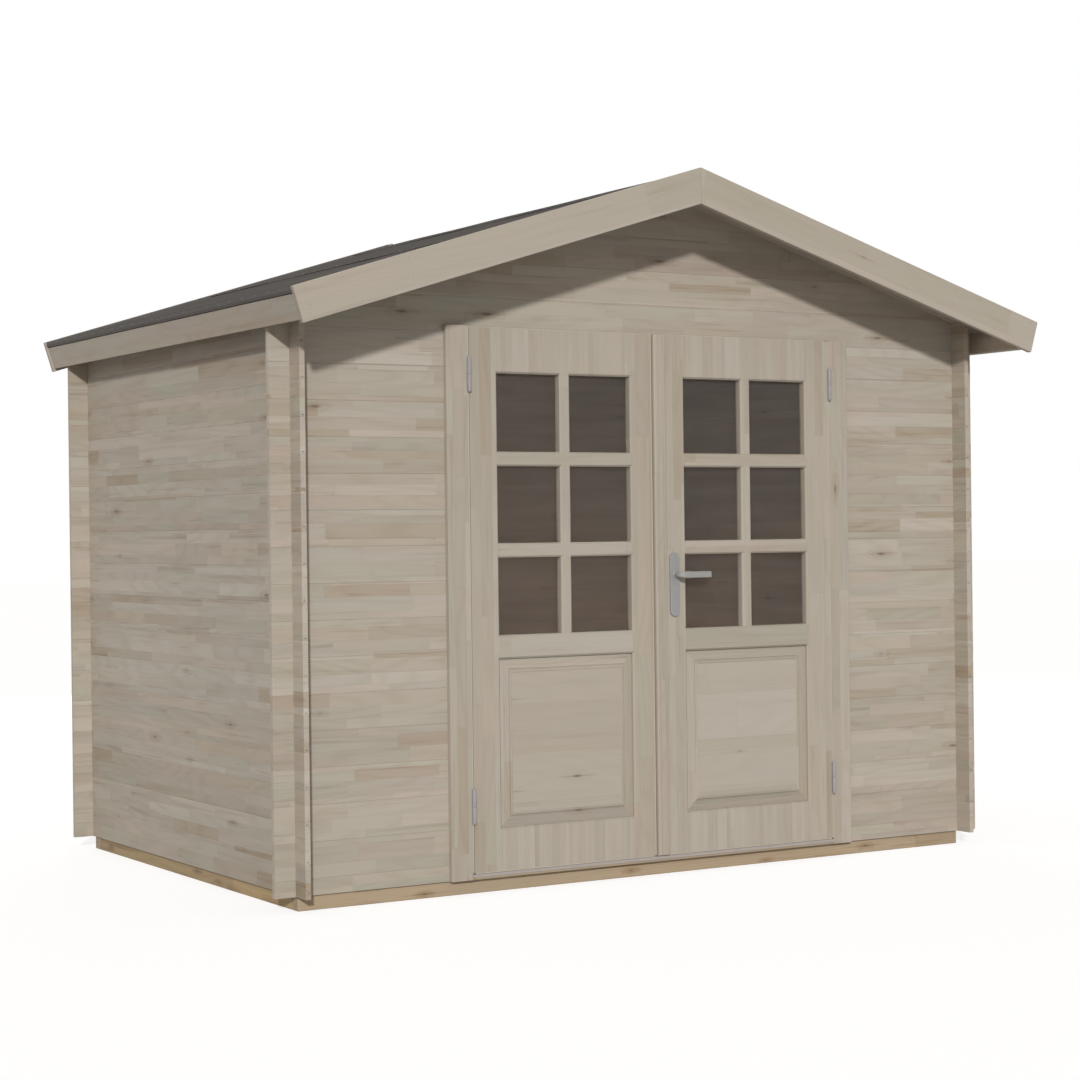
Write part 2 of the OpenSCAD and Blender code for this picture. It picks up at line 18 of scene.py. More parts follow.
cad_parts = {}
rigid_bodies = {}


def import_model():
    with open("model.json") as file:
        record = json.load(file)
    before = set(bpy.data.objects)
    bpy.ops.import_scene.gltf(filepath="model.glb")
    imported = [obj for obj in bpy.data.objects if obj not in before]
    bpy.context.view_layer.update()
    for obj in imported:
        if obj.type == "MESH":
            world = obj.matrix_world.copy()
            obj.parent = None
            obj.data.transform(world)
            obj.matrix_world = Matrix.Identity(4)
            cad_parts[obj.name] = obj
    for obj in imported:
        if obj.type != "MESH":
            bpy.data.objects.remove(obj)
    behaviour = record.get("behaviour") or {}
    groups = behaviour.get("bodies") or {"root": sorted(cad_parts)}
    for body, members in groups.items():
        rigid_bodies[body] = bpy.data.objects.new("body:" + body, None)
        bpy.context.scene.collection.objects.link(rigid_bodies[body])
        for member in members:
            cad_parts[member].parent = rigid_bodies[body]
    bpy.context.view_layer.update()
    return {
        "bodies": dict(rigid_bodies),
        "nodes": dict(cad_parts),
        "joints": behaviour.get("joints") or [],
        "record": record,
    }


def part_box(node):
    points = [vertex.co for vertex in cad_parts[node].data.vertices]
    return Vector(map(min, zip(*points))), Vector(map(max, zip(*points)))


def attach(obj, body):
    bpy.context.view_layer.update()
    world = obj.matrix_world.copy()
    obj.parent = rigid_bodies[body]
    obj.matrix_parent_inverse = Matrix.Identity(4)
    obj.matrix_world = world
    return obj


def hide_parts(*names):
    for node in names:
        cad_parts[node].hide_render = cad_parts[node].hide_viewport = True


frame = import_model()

LOG = logging.getLogger("log_cabin")
Colour = tuple[float, float, float]
Point = tuple[float, float, float]
Flat = tuple[float, float]


def tone(red: int, green: int, blue: int) -> Colour:
    """Turns a colour into linear light.

    Args:
        red: the red channel, 0 to 255.
        green: the green channel, 0 to 255.
        blue: the blue channel, 0 to 255.

    Returns:
        The three channels as linear light.
    """
    parts = (value / 255 for value in (red, green, blue))
    return tuple(
        part / 12.92 if part <= 0.04045 else ((part + 0.055) / 1.055) ** 2.4 for part in parts
    )


# ---------------------------------------------------------------- node sheets


def step(operation: str, flipped: bool = False) -> Callable[..., "Socket"]:
    """Makes a socket's method that adds one step of arithmetic.

    Args:
        operation: the math node's operation.
        flipped: whether the socket comes after the other value.

    Returns:
        The method.
    """
    def method(self: "Socket", *others: "Value") -> "Socket":
        """Adds the step."""
        values = (*others, self) if flipped else (self, *others)
        return self.sheet.math(operation, *values)

    return method


class Socket:
    """A node's output, which can stand in a written expression."""

    __add__ = __radd__ = step("ADD")
    __mul__ = __rmul__ = step("MULTIPLY")
    __sub__, __rsub__ = step("SUBTRACT"), step("SUBTRACT", True)
    __truediv__, __rtruediv__ = step("DIVIDE"), step("DIVIDE", True)
    __pow__, __rpow__ = step("POWER"), step("POWER", True)
    __lt__, __gt__, __abs__ = step("LESS_THAN"), step("GREATER_THAN"), step("ABSOLUTE")
    floor, fract, sine = step("FLOOR"), step("FRACT"), step("SINE")
    least, zigzag = step("MINIMUM"), step("PINGPONG")

    def __init__(self, sheet: "Sheet", link: bpy.types.NodeSocket) -> None:
        """Keeps the output and the sheet that its node lies on."""
        self.sheet = sheet
        self.link = link

    def rise(self, low: "Value", high: "Value") -> "Socket":
        """Climbs smoothly from 0 at low to 1 at high.

        Args:
            low: where the climb starts.
            high: where it ends.

        Returns:
            The smooth step.
        """
        values = {"Value": self, "From Min": low, "From Max": high}
        return self.sheet.add(
            "ShaderNodeMapRange", {"interpolation_type": "SMOOTHSTEP"}, values
        ).out("Result")

    def parts(self) -> tuple["Socket", "Socket", "Socket"]:
        """Splits a vector or a colour into its three numbers."""
        node = self.sheet.add("ShaderNodeSeparateXYZ", {}, {"Vector": self})
        return node.out("X"), node.out("Y"), node.out("Z")


Value = Socket | float | int


class Node:
    """A placed node, whose outputs are asked for by name or number."""

    def __init__(self, sheet: "Sheet", node: bpy.types.Node) -> None:
        """Keeps the node and its sheet."""
        self.sheet = sheet
        self.node = node

    def out(self, key: str | int = 0) -> Socket:
        """Gives one output."""
        return Socket(self.sheet, Sheet.find(self.node.outputs, key))


class Sheet:
    """A node tree of a material, a world or a geometry modifier."""

    def __init__(self, tree: bpy.types.NodeTree) -> None:
        """Keeps the tree."""
        self.tree = tree

    @staticmethod
    def find(sockets: Iterable, key: str | int) -> bpy.types.NodeSocket:
        """Finds a socket by number, by identifier, or by the name of one in use.

        Args:
            sockets: a node's inputs or outputs.
            key: the number, identifier or name.

        Returns:
            The socket.
        """
        if isinstance(key, int):
            return sockets[key]
        for socket in sockets:
            if socket.identifier == key and socket.enabled:
                return socket
        for socket in sockets:
            if socket.name == key and socket.enabled:
                return socket
        raise KeyError(f"no socket named {key}")

    def add(self, kind: str, settings: dict, values: dict) -> Node:
        """Adds a node, sets it up, and then fills or links its inputs.

        Args:
            kind: the node's type.
            settings: the node's own properties, and "stops" for a ramp.
            values: numbers, colours, materials or sockets, by input.

        Returns:
            The placed node.
        """
        node = self.tree.nodes.new(kind)
        for key, setting in settings.items():
            if key == "stops":
                ramp = node.color_ramp
                for at, colour in setting[1:-1]:
                    ramp.elements.new(at).color = (*colour, 1)
                ends = (ramp.elements[0], setting[0]), (ramp.elements[-1], setting[-1])
                for element, (at, colour) in ends:
                    element.position = at
                    element.color = (*colour, 1)
            else:
                setattr(node, key, setting)
        for key, value in values.items():
            socket = self.find(node.inputs, key)
            if isinstance(value, Socket):
                self.tree.links.new(value.link, socket)
            elif isinstance(value, tuple) and socket.type == "RGBA":
                socket.default_value = (*value, 1)
            else:
                socket.default_value = value
        return Node(self, node)

    def math(self, operation: str, *values: Value) -> Socket:
        """Adds one step of arithmetic."""
        given = dict(enumerate(values))
        return self.add("ShaderNodeMath", {"operation": operation}, given).out()

    def vector(self, x: Value, y: Value, z: Value) -> Socket:
        """Joins three numbers into a vector."""
        return self.add("ShaderNodeCombineXYZ", {}, {"X": x, "Y": y, "Z": z}).out()

    def mix(self, share: Value, first: Socket | Colour, second: Socket | Colour) -> Socket:
        """Blends two colours.

        Args:
            share: 0 for the first colour, 1 for the second.
            first: a colour or a colour socket.
            second: a colour or a colour socket.

        Returns:
            The blend.
        """
        values = {"Factor_Float": share, "A_Color": first, "B_Color": second}
        return self.add("ShaderNodeMix", {"data_type": "RGBA"}, values).out("Result_Color")

    def scaled(self, colour: Socket | Colour, by: Value) -> Socket:
        """Makes a colour lighter or darker by a factor."""
        values = {"Vector": colour, "Scale": by}
        return self.add("ShaderNodeVectorMath", {"operation": "SCALE"}, values).out("Vector")

    def noise(self, at: Socket, scale: float, detail: float) -> Socket:
        """Adds soft noise from 0 to 1.

        Args:
            at: the point.
            scale: how many waves there are in a metre of the given point.
            detail: how many finer layers there are.

        Returns:
            The noise.
        """
        values = {"Vector": at, "Scale": scale, "Detail": detail}
        return self.add("ShaderNodeTexNoise", {}, values).out("Fac")

    def cells(self, at: Value, **settings: str) -> Node:
        """Cuts a line into cells of uneven length, about one to a unit.

        Args:
            at: the place on the line.
            settings: the node's further settings.

        Returns:
            The node, with a chance colour and the cell's own place as outputs.
        """
        flat = {"voronoi_dimensions": "1D", **settings}
        return self.add("ShaderNodeTexVoronoi", flat, {"W": at, "Scale": 1.0})

    def cuts(self, at: Value) -> Socket:
        """Gives the distance to the nearest end of the cells on a line."""
        return self.cells(at, feature="DISTANCE_TO_EDGE").out("Distance")

    def chance(self, seed: Value) -> Socket:
        """Gives a chance colour that stays the same for one seed."""
        flat = {"noise_dimensions": "1D"}
        return self.add("ShaderNodeTexWhiteNoise", flat, {"W": seed}).out("Color")

    def object_point(self) -> tuple[Socket, Socket, Socket]:
        """Gives the three coordinates of the shaded point in the cabin's frame."""
        return self.add("ShaderNodeTexCoord", {}, {}).out("Object").parts()

    def object_normal(self) -> tuple[Socket, Socket, Socket]:
        """Gives the three parts of the surface's direction in the cabin's frame."""
        return self.add("ShaderNodeTexCoord", {}, {}).out("Normal").parts()

    def seen(self) -> Socket:
        """Finds the rays that show things: straight, from a mirror or through glass.

        Returns:
            1 for these rays and 0 for all others.
        """
        path = self.add("ShaderNodeLightPath", {}, {})
        rays = (path.out(f"Is {kind} Ray") for kind in ("Camera", "Glossy", "Transmission"))
        return sum(rays, start=0).least(1.0)

    def bump(self, height: Socket, strength: float, distance: float) -> Socket:
        """Turns a height into a normal.

        Args:
            height: the height, about 0 to 1.
            strength: how much of it shows.
            distance: how high 1 stands, in metres.

        Returns:
            The normal.
        """
        values = {"Height": height, "Strength": strength, "Distance": distance}
        return self.add("ShaderNodeBump", {}, values).out("Normal")


# ------------------------------------------------------------------- finishes


class Grain(Enum):
    """How a pattern lies: its axes along the fibres, across them and into the piece."""

    LEVEL_X = (0, 2, 1)
    LEVEL_Y = (1, 2, 0)
    UPRIGHT_FRONT = (2, 0, 1)
    FLAT_Y = (1, 0, 2)
    SLOPE = (0, 1, 2)


@dataclass(frozen=True)
class Palette:
    """The colours of one kind of timber."""

    rosy: Colour
    sage: Colour
    honey: Colour
    pale: Colour
    streak: Colour
    knot: Colour
    seam: Colour


PLANED = Palette(
    rosy=tone(178, 162, 148),
    sage=tone(170, 166, 149),
    honey=tone(173, 158, 138),
    pale=tone(183, 176, 164),
    streak=tone(146, 127, 106),
    knot=tone(106, 90, 72),
    seam=tone(88, 78, 66),
)
ROUGH = Palette(
    rosy=tone(170, 146, 122),
    sage=tone(154, 145, 118),
    honey=tone(178, 149, 113),
    pale=tone(168, 155, 133),
    streak=tone(134, 108, 78),
    knot=tone(84, 50, 36),
    seam=tone(80, 66, 46),
)
SANDY = replace(
    ROUGH, rosy=tone(174, 148, 114), sage=tone(158, 146, 109), honey=tone(182, 151, 103),
    pale=tone(172, 157, 124),
)


INDOORS = tone(158, 120, 80)
FINGER_PITCH = 0.0038
RINGS = 1700.0


class Finish:
    """What every finish has: a name, and a material that is made once."""

    name: str

    def material(self) -> bpy.types.Material:
        """Gives the finish's material, which is built at the first call.

        Returns:
            The material.
        """
        made = bpy.data.materials.get(self.name)
        if made is None:
            made = bpy.data.materials.new(self.name)
            made.use_nodes = True
            made.node_tree.nodes.clear()
            sheet = Sheet(made.node_tree)
            shader = self.shade(sheet)
            sheet.add("ShaderNodeOutputMaterial", {}, {"Surface": shader.out()})
            made.diffuse_color = (0.45, 0.4, 0.33, 1)
        return made

    def shade(self, sheet: Sheet) -> Node:
        """Builds the shader on an empty sheet."""
        raise NotImplementedError


@dataclass(frozen=True)
class Pine(Finish):
    """Planed pine, glued up from narrow strips with finger joints along each strip.

    Attributes:
        name: the material's name.
        grain: how the fibres lie.
        board: how far apart the joints between logs or boards lie.
        start: where the first of them lies.
        strip: how wide a glued strip is.
        piece: about how long a piece of a strip is.
        seam: the share of the light that the joints swallow, below 0 where they catch it.
        knots: the share of places that have a knot.
        contrast: how much the pieces differ.
        slope: how far the fibres are turned about Y.
        seed: where the pattern starts.
        palette: the colours.
        lift: how much lighter the wood is than its palette; above 1 it is painted light that lifts
            faces in shade, below 1 it is painted shade.
        end_light: how much lighter its cut ends are.
        room: the bounds on X and Y between which it has an indoor tone.
    """

    name: str
    grain: Grain
    board: float = 4.0
    start: float = -2.0
    strip: float = 0.044
    piece: float = 0.40
    seam: float = 0.0
    knots: float = 0.17
    contrast: float = 1.0
    slope: float = 0.0
    seed: float = 0.0
    palette: Palette = PLANED
    lift: float = 1.0
    end_light: float = -0.12
    room: tuple[float, ...] = ()

    def axes(self, values: tuple[Socket, Socket, Socket]) -> list[Socket]:
        """Turns a point or direction into along, across and into the fibres.

        Args:
            values: the three coordinates in the cabin's frame.

        Returns:
            The three coordinates in the board's frame.
        """
        x, y, z = values
        if self.slope:
            cos, sin = math.cos(self.slope), math.sin(self.slope)
            x, z = x * cos - z * sin, x * sin + z * cos
        turned = (x, y, z)
        return [turned[axis] for axis in self.grain.value]

    def scatter(
        self, sheet: Sheet, along: Socket, across: Socket, flow: Socket,
    ) -> tuple[Socket, Socket, Socket]:
        """Scatters knots, each with a halo and with a tail along the fibres.

        Args:
            sheet: the material's sheet.
            along: the place along the fibres.
            across: the place across them.
            flow: slow noise that bends the fibres.

        Returns:
            The knots' cores, their halos, and how much of the knots' colour shows.
        """
        sway = (flow - 0.5) * 0.10
        knot_x, knot_y = along * 2.9, across * 9.5 + self.seed + sway
        values = {"Vector": sheet.vector(knot_x, knot_y, 0.0), "Scale": 1.0}
        knot = sheet.add("ShaderNodeTexVoronoi", {"voronoi_dimensions": "2D"}, values)
        near = knot.out("Distance")
        spot_x, spot_y, _ = knot.out("Position").parts()
        pick, size, long = knot.out("Color").parts()
        here = pick < self.knots
        radius = size * 0.062 + 0.040
        core = (1 - near.rise(radius * 0.10, radius)) * here
        halo = (1 - near.rise(radius, radius * 3.2)) * here
        tail = 1 - abs(knot_y - spot_y).rise(0.006, 0.038)
        tail = tail * (1 - abs(knot_x - spot_x).rise(0.04, long * 0.30 + 0.08)) * here
        return core, halo, (core * (size * 0.46 + 0.34) + tail * long * 0.30).least(0.85)

    def warmed(self, sheet: Sheet, colour: Socket) -> Socket:
        """Gives the wood its indoor tone within the room, where there is one.

        Args:
            sheet: the material's sheet.
            colour: the wood's colour.

        Returns:
            The colour with the indoor tone.
        """
        if not self.room:
            return colour
        x, y, _ = sheet.object_point()
        x0, x1, y0, y1 = self.room
        indoors = (x > x0) * (x < x1) * (y > y0) * (y < y1)
        return sheet.mix(indoors * 0.65, colour, INDOORS)

    def shade(self, sheet: Sheet) -> Node:
        """Builds the timber: strips, finger joints, rings, fibres, streaks and knots.

        Args:
            sheet: the material's empty sheet.

        Returns:
            The shader.
        """
        look = self.palette
        along, across, depth = self.axes(sheet.object_point())
        end = abs(self.axes(sheet.object_normal())[0]).rise(0.6, 0.9)

        def drawn(place: Socket, fine: float, detail: float) -> Socket:
            """Gives noise that is drawn out along the fibres."""
            return sheet.noise(sheet.vector(place, across * fine, depth * fine), 1.0, detail)

        # Boards, the strips that they are glued up from, and the pieces of a strip.
        row = (across - self.start) / self.board
        index, share = row.floor(), row.fract()
        row_luck, _, _ = sheet.chance(index + self.seed).parts()
        strip_at = share * (self.board / self.strip) + index * 17.3 + self.seed
        strip = sheet.cells(strip_at)
        luck_a, luck_b, _ = strip.out("Color").parts()
        finger = across.zigzag(FINGER_PITCH) * 2.4
        piece_at = (along + finger) / self.piece + luck_a * 61.0 + index * 7.7
        tint_a, tint_b, tint_c = sheet.cells(piece_at).out("Color").parts()
        glue = 1 - (sheet.cuts(piece_at) * self.piece).rise(0.0003, 0.0012)
        joint = 1 - (sheet.cuts(strip_at) * self.strip).rise(0.0002, 0.0010)

        # Noise along the fibres, knots, and growth rings about a far core.
        shift = tint_a * 9.0 + luck_b * 5.0
        broad = drawn(along * 1.3 + shift, 34, 3.0)
        fibre = drawn(along * 7.0, 420, 1.0)
        flow = drawn(along * 1.1 + shift, 6, 1.0)
        drift = drawn(along * 2.6 + self.seed, 15, 2.0) - 0.5
        core, halo, spot = self.scatter(sheet, along, across, flow)
        side = (strip_at - strip.out("W")) * self.strip - (tint_b - 0.5) * 0.10
        into = depth + 0.04 + tint_c * 0.07
        wander = flow * 0.030 + halo * 0.006 + along * ((luck_b - 0.5) * 0.03)
        ring = (((side * side + into * into) ** 0.5 + wander) * RINGS).sine()
        late = (ring * 0.5 + 0.5) ** 2.5

        # Colour from the palette, streaks, then light, knots and joints.
        hue = ((tint_a - 0.5) + drift * 1.6) * self.contrast + 0.5
        colour = sheet.mix(hue, look.rosy, look.sage)
        honey = (tint_b * tint_b * 0.8 + drift * 0.8) * self.contrast
        colour = sheet.mix(honey, colour, look.honey)
        colour = sheet.mix(luck_b * 0.55 + row_luck * 0.35, colour, look.pale)
        dark = broad.rise(0.56, 0.80) * 0.40 + late * 0.13 + halo * 0.26
        dark = dark + (tint_c > 0.93) * 0.42
        dark = dark + drawn(along * 3.4 + shift, 95, 1.0).rise(0.66, 0.78) * 0.28
        colour = sheet.mix(dark * self.contrast, colour, look.streak)
        light = (tint_c - 0.5) * 0.13 + (row_luck - 0.5) * 0.07
        light = light + (fibre - 0.5) * 0.16 + (0.5 - broad) * 0.12
        # A lift above 1 multiplies in painted light, a lift below 1 painted shade.
        light = (light * self.contrast + end * self.end_light + 1) * self.lift
        colour = self.warmed(sheet, sheet.scaled(colour, light))
        colour = sheet.mix(spot, colour, look.knot)
        line = 1 - ((0.5 - abs(share - 0.5)) * self.board).rise(0.0005, 0.0015)
        marks = (glue * 0.16 + joint * 0.09) * (1 - line)
        colour = sheet.mix(marks, colour, look.seam)
        # Where seam is above 0, painted shade darkens the joints between logs and boards; where it
        # is below 0, painted light lifts the shade of the log grooves.
        colour = sheet.scaled(colour, 1 - line * (1 - end) * self.seam)
        values = {
            "Base Color": colour,
            "Roughness": fibre * 0.14 + 0.58 - core * 0.1,
            "Normal": sheet.bump(fibre * 0.6 - line * 1.2, 0.30, 0.0007),
            "IOR": 1.42,
        }
        return sheet.add("ShaderNodeBsdfPrincipled", {}, values)


@dataclass(frozen=True)
class Felt(Finish):
    """Roofing felt: dark bitumen with mineral grains pressed into it."""

    name: str
    seed: float = 0.0

    def shade(self, sheet: Sheet) -> Node:
        """Builds the felt: two sizes of grains, rolled streaks and dusty patches.

        Args:
            sheet: the material's empty sheet.

        Returns:
            The shader.
        """
        x, y, z = sheet.object_point()
        point = sheet.vector(x, y, z)
        grain = sheet.add("ShaderNodeTexVoronoi", {}, {"Vector": point, "Scale": 620.0})
        light, warm, _ = grain.out("Color").parts()
        patch = sheet.noise(sheet.vector(x * 3 + self.seed, y * 0.8, z * 3), 1.0, 4.0)
        roll = sheet.noise(sheet.vector(x * 26, y * 0.7, z * 26), 1.0, 2.0)
        colour = sheet.mix(light, tone(91, 88, 87), tone(121, 118, 114))
        colour = sheet.mix(warm * 0.35, colour, tone(112, 104, 97))
        colour = sheet.mix(patch.rise(0.45, 0.75) * 0.35, colour, tone(126, 121, 117))
        colour = sheet.scaled(colour, (roll - 0.5) * 0.30 + 1)
        height = (1 - grain.out("Distance")) * 0.6 + patch * 0.8
        values = {
            "Base Color": colour,
            "Roughness": light * 0.10 + 0.86,
            "Specular IOR Level": 0.0,
            "Normal": sheet.bump(height, 0.55, 0.0012),
        }
        return sheet.add("ShaderNodeBsdfPrincipled", {}, values)


@dataclass(frozen=True)
class Metal(Finish):
    """Satin metal, brushed one way, with finger marks and fine scratches."""

    name: str
    colour: Colour
    along: int
    metallic: float = 0.75
    rough: float = 0.42

    def shade(self, sheet: Sheet) -> Node:
        """Builds the metal: brushed lines, a soft cloud of wear and small pits.

        Args:
            sheet: the material's empty sheet.

        Returns:
            The shader.
        """
        point = sheet.object_point()
        lines = sheet.noise(sheet.vector(
            *(value * (14 if axis == self.along else 900) for axis, value in enumerate(point))
        ), 1.0, 2.0)
        cloud = sheet.noise(sheet.vector(*point), 38.0, 4.0)
        pits = sheet.noise(sheet.vector(*point), 900.0, 1.0).rise(0.70, 0.82)
        colour = sheet.scaled(self.colour, (lines - 0.5) * 0.16 + (cloud - 0.5) * 0.2 + 1)
        colour = sheet.mix(pits * 0.3, colour, tone(70, 70, 70))
        values = {
            "Base Color": colour,
            "Metallic": self.metallic,
            "Roughness": (cloud - 0.5) * 0.25 + lines * 0.08 + self.rough,
            "Normal": sheet.bump(lines * 0.6 - pits, 0.25, 0.0003),
        }
        return sheet.add("ShaderNodeBsdfPrincipled", {}, values)


@dataclass(frozen=True)
class Pane(Finish):
    """Clear window glass, a little wavy, under a thin film of dust."""

    name: str

    def shade(self, sheet: Sheet) -> Node:
        """Builds the glass: slight waves, specks of dust and wiped streaks.

        Args:
            sheet: the material's empty sheet.

        Returns:
            The shader.
        """
        x, y, z = sheet.object_point()
        point = sheet.vector(x, y, z)
        waves = sheet.noise(point, 5.0, 2.0)
        dust = sheet.noise(point, 60.0, 5.0).rise(0.45, 0.8)
        wiped = sheet.noise(sheet.vector(x * 2.2, y, z * 21), 1.0, 3.0).rise(0.35, 0.70)
        smear = sheet.noise(sheet.vector(x * 5, y, z * 90), 1.0, 1.0).rise(0.60, 0.75)
        values = {
            "Base Color": sheet.mix(
                wiped * 0.4 + smear * 0.2, (1.0, 0.925, 0.85), (0.80, 0.74, 0.68)
            ),
            "Roughness": dust * 0.05 + 0.02,
            "Transmission Weight": 0.966,
            "IOR": 1.17,
            "Normal": sheet.bump(waves, 0.08, 0.002),
        }
        return sheet.add("ShaderNodeBsdfPrincipled", {}, values)


@dataclass(frozen=True)
class PaleFloor(Finish):
    """A matt pale floor that looks white where nothing shades it."""

    name: str
    glow: float

    def shade(self, sheet: Sheet) -> Node:
        """Adds a glow that only shows to the eye to a matt white.

        Args:
            sheet: the material's empty sheet.

        Returns:
            The shader.
        """
        matt = sheet.add("ShaderNodeBsdfDiffuse", {}, {"Color": (0.5, 0.495, 0.49)})
        glow = sheet.add("ShaderNodeEmission", {}, {
            "Color": (1.0, 1.0, 1.0), "Strength": sheet.seen() * self.glow,
        })
        return sheet.add("ShaderNodeAddShader", {}, {0: matt.out(), 1: glow.out()})


# The seals' wood has lift=1.2: painted light that lifts the shade in the gaps round the leaves.
SEAL_PAINTED_LIGHT = Pine(
    "seal_painted_light", Grain.UPRIGHT_FRONT, strip=0.3, piece=2.6, knots=0.0, contrast=0.4,
    seed=141.0, lift=1.2,
)
STEEL_UP = Metal("nail_steel", tone(150, 146, 140), 2, 0.6, 0.5)
GALVANISED = Metal("felt_nail_steel", tone(120, 120, 120), 0, 0.5, 0.6)
HINGE_STEEL = Metal("hinge_steel", tone(160, 157, 157), 2, 0.1, 0.72)
HANDLE_METAL = Metal("plate_metal", tone(151, 150, 149), 2, 0.3, 0.55)
LEVER_METAL = Metal("lever_metal", tone(154, 152, 148), 0, 0.2, 0.6)


# ---------------------------------------------------------------- mesh making

SAME_PLACE = 1e-5
FLAT_ANGLE = math.radians(0.5)
EASED_ANGLE = math.radians(32)
SHARP_ANGLE = math.radians(25)


def stand(name: str, data: bpy.types.ID) -> bpy.types.Object:
    """Puts a new object into the scene.

    Args:
        name: the object's name.
        data: its mesh, lamp or camera.

    Returns:
        The object.
    """
    made = bpy.data.objects.new(name, data)
    bpy.context.scene.collection.objects.link(made)
    return made


class Form:
    """A mesh in the making, of closed solids, each face with its finish's number."""

    def __init__(self) -> None:
        """Starts empty."""
        self.shape = bmesh.new()

    def solid(self, points: list[Point], faces: list[tuple[int, ...]], mark: int = 0) -> None:
        """Adds points and faces.

        Args:
            points: the corners.
            faces: the corners' numbers, face by face.
            mark: the number of the finish.
        """
        corners = [self.shape.verts.new(point) for point in points]
        for face in faces:
            self.shape.faces.new([corners[k] for k in face]).material_index = mark

    def rings(self, rings: list[list[Point]]) -> None:
        """Joins rings of points into a tube with flat ends.

        Args:
            rings: the rings, each with as many points.
        """
        count, last = len(rings[0]), len(rings) - 1
        faces: list[tuple[int, ...]] = []
        for k in range(last):
            low, high = k * count, (k + 1) * count
            faces += [
                (low + j, low + (j + 1) % count, high + (j + 1) % count, high + j)
                for j in range(count)
            ]
        faces.append(tuple(range(count))[::-1])
        faces.append(tuple(range(last * count, (last + 1) * count)))
        self.solid([point for ring in rings for point in ring], faces)

    def prism(self, outline: list[Flat], axis: int, low: float, high: float) -> None:
        """Adds an outline drawn out along an axis.

        Args:
            outline: the section's corners on the two other axes, in their order.
            axis: 0, 1 or 2 for X, Y or Z.
            low: where the solid starts.
            high: where it ends.
        """
        self.rings([[(*c[:axis], at, *c[axis:]) for c in outline] for at in (low, high)])

    def lathe(self, profile: list[Flat], centre: Point, axis: int, sides: int = 24) -> None:
        """Adds a turned solid.

        Args:
            profile: pairs of a place along the axis and a radius.
            centre: where the profile's places are measured from.
            axis: 0, 1 or 2 for X, Y or Z.
            sides: how many sides it has.
        """
        first, second = [k for k in range(3) if k != axis]
        rings = []
        for at, radius in profile:
            ring = []
            for k in range(sides):
                point, turn = list(centre), 2 * math.pi * k / sides
                point[axis] += at
                point[first] += radius * math.cos(turn)
                point[second] += radius * math.sin(turn)
                ring.append(tuple(point))
            rings.append(ring)
        self.rings(rings)

    def borrow(self, node: str) -> None:
        """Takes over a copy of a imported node, with its loose triangles merged.

        Args:
            node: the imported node.
        """
        self.shape.from_mesh(frame["nodes"][node].data)
        bmesh.ops.remove_doubles(self.shape, verts=self.shape.verts, dist=SAME_PLACE)
        bmesh.ops.dissolve_limit(
            self.shape, angle_limit=FLAT_ANGLE, verts=self.shape.verts,
            edges=self.shape.edges,
        )
        for face in self.shape.faces:
            face.material_index = 0

    def mark(self, chooser: Callable[[Vector], int]) -> None:
        """Numbers each face's finish by the face's middle."""
        for face in self.shape.faces:
            face.material_index = chooser(face.calc_center_median())

    def piece(
        self, name: str, finishes: list[Finish], ease: float = 0.0, steps: int = 2,
        turned: bool = False,
    ) -> bpy.types.Object:
        """Turns the mesh into an object, its sharp edges eased.

        Args:
            name: the piece's name.
            finishes: the finishes in the order of the faces' numbers.
            ease: how wide the eased edges are.
            steps: how many facets an eased edge has.
            turned: whether its round faces are shaded smoothly.

        Returns:
            The object, with a plain mesh.
        """
        bmesh.ops.recalc_face_normals(self.shape, faces=self.shape.faces)
        mesh = bpy.data.meshes.new(name)
        self.shape.to_mesh(mesh)
        self.shape.free()
        for finish in finishes:
            mesh.materials.append(finish.material())
        piece = stand(name, mesh)
        if ease:
            bevel = piece.modifiers.new("ease", "BEVEL")
            bevel.width = ease
            bevel.segments = steps
            bevel.limit_method = "ANGLE"
            bevel.angle_limit = EASED_ANGLE
            bevel.use_clamp_overlap = True
            settle(piece)
        if turned:
            piece.data.shade_smooth()
            piece.data.set_sharp_from_angle(angle=SHARP_ANGLE)
        return piece


def settle(piece: bpy.types.Object) -> None:
    """Replaces an object's mesh by what its modifiers make of it.

    Args:
        piece: the object.
    """
    bpy.context.view_layer.update()
    graph = bpy.context.evaluated_depsgraph_get()
    made = bpy.data.meshes.new_from_object(
        piece.evaluated_get(graph), preserve_all_data_layers=True, depsgraph=graph
    )
    piece.modifiers.clear()
    piece.data = made


def fit(piece: bpy.types.Object, body: str, slot: str, *nodes: str) -> None:
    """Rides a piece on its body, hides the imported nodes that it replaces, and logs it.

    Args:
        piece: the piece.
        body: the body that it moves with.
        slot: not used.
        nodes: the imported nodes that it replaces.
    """
    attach(piece, body)
    if nodes:
        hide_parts(*nodes)
    LOG.info("%s rides on %s, %d faces", piece.name, body, len(piece.data.polygons))


def dress(node: str, finish: Finish) -> None:
    """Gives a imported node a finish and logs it.

    Args:
        node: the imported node, which keeps its shape.
        finish: the finish.
    """
    held = frame["nodes"][node]
    for place in held.material_slots:
        place.material = finish.material()
    LOG.info("%s keeps its shape and gets %s", node, finish.name)


def eased(
    node: str, body: str, slot: str, finish: Finish, ease: float,
    other: Finish | None = None, chooser: Callable[[Vector], bool] = lambda normal: False,
) -> None:
    """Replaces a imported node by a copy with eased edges.

    Args:
        node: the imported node.
        body: the body that it moves with.
        slot: the record's material slot.
        finish: the finish of the piece.
        ease: how wide the eased edges are.
        other: a second finish, for some of the faces.
        chooser: says which faces get it, from their direction.
    """
    form = Form()
    form.borrow(node)
    bmesh.ops.recalc_face_normals(form.shape, faces=form.shape.faces)
    for face in form.shape.faces:
        face.material_index = int(chooser(face.normal))
    finishes = [finish] if other is None else [finish, other]
    fit(form.piece(f"{node}_eased", finishes, ease), body, slot, node)


# ------------------------------------------------------------- geometry nodes


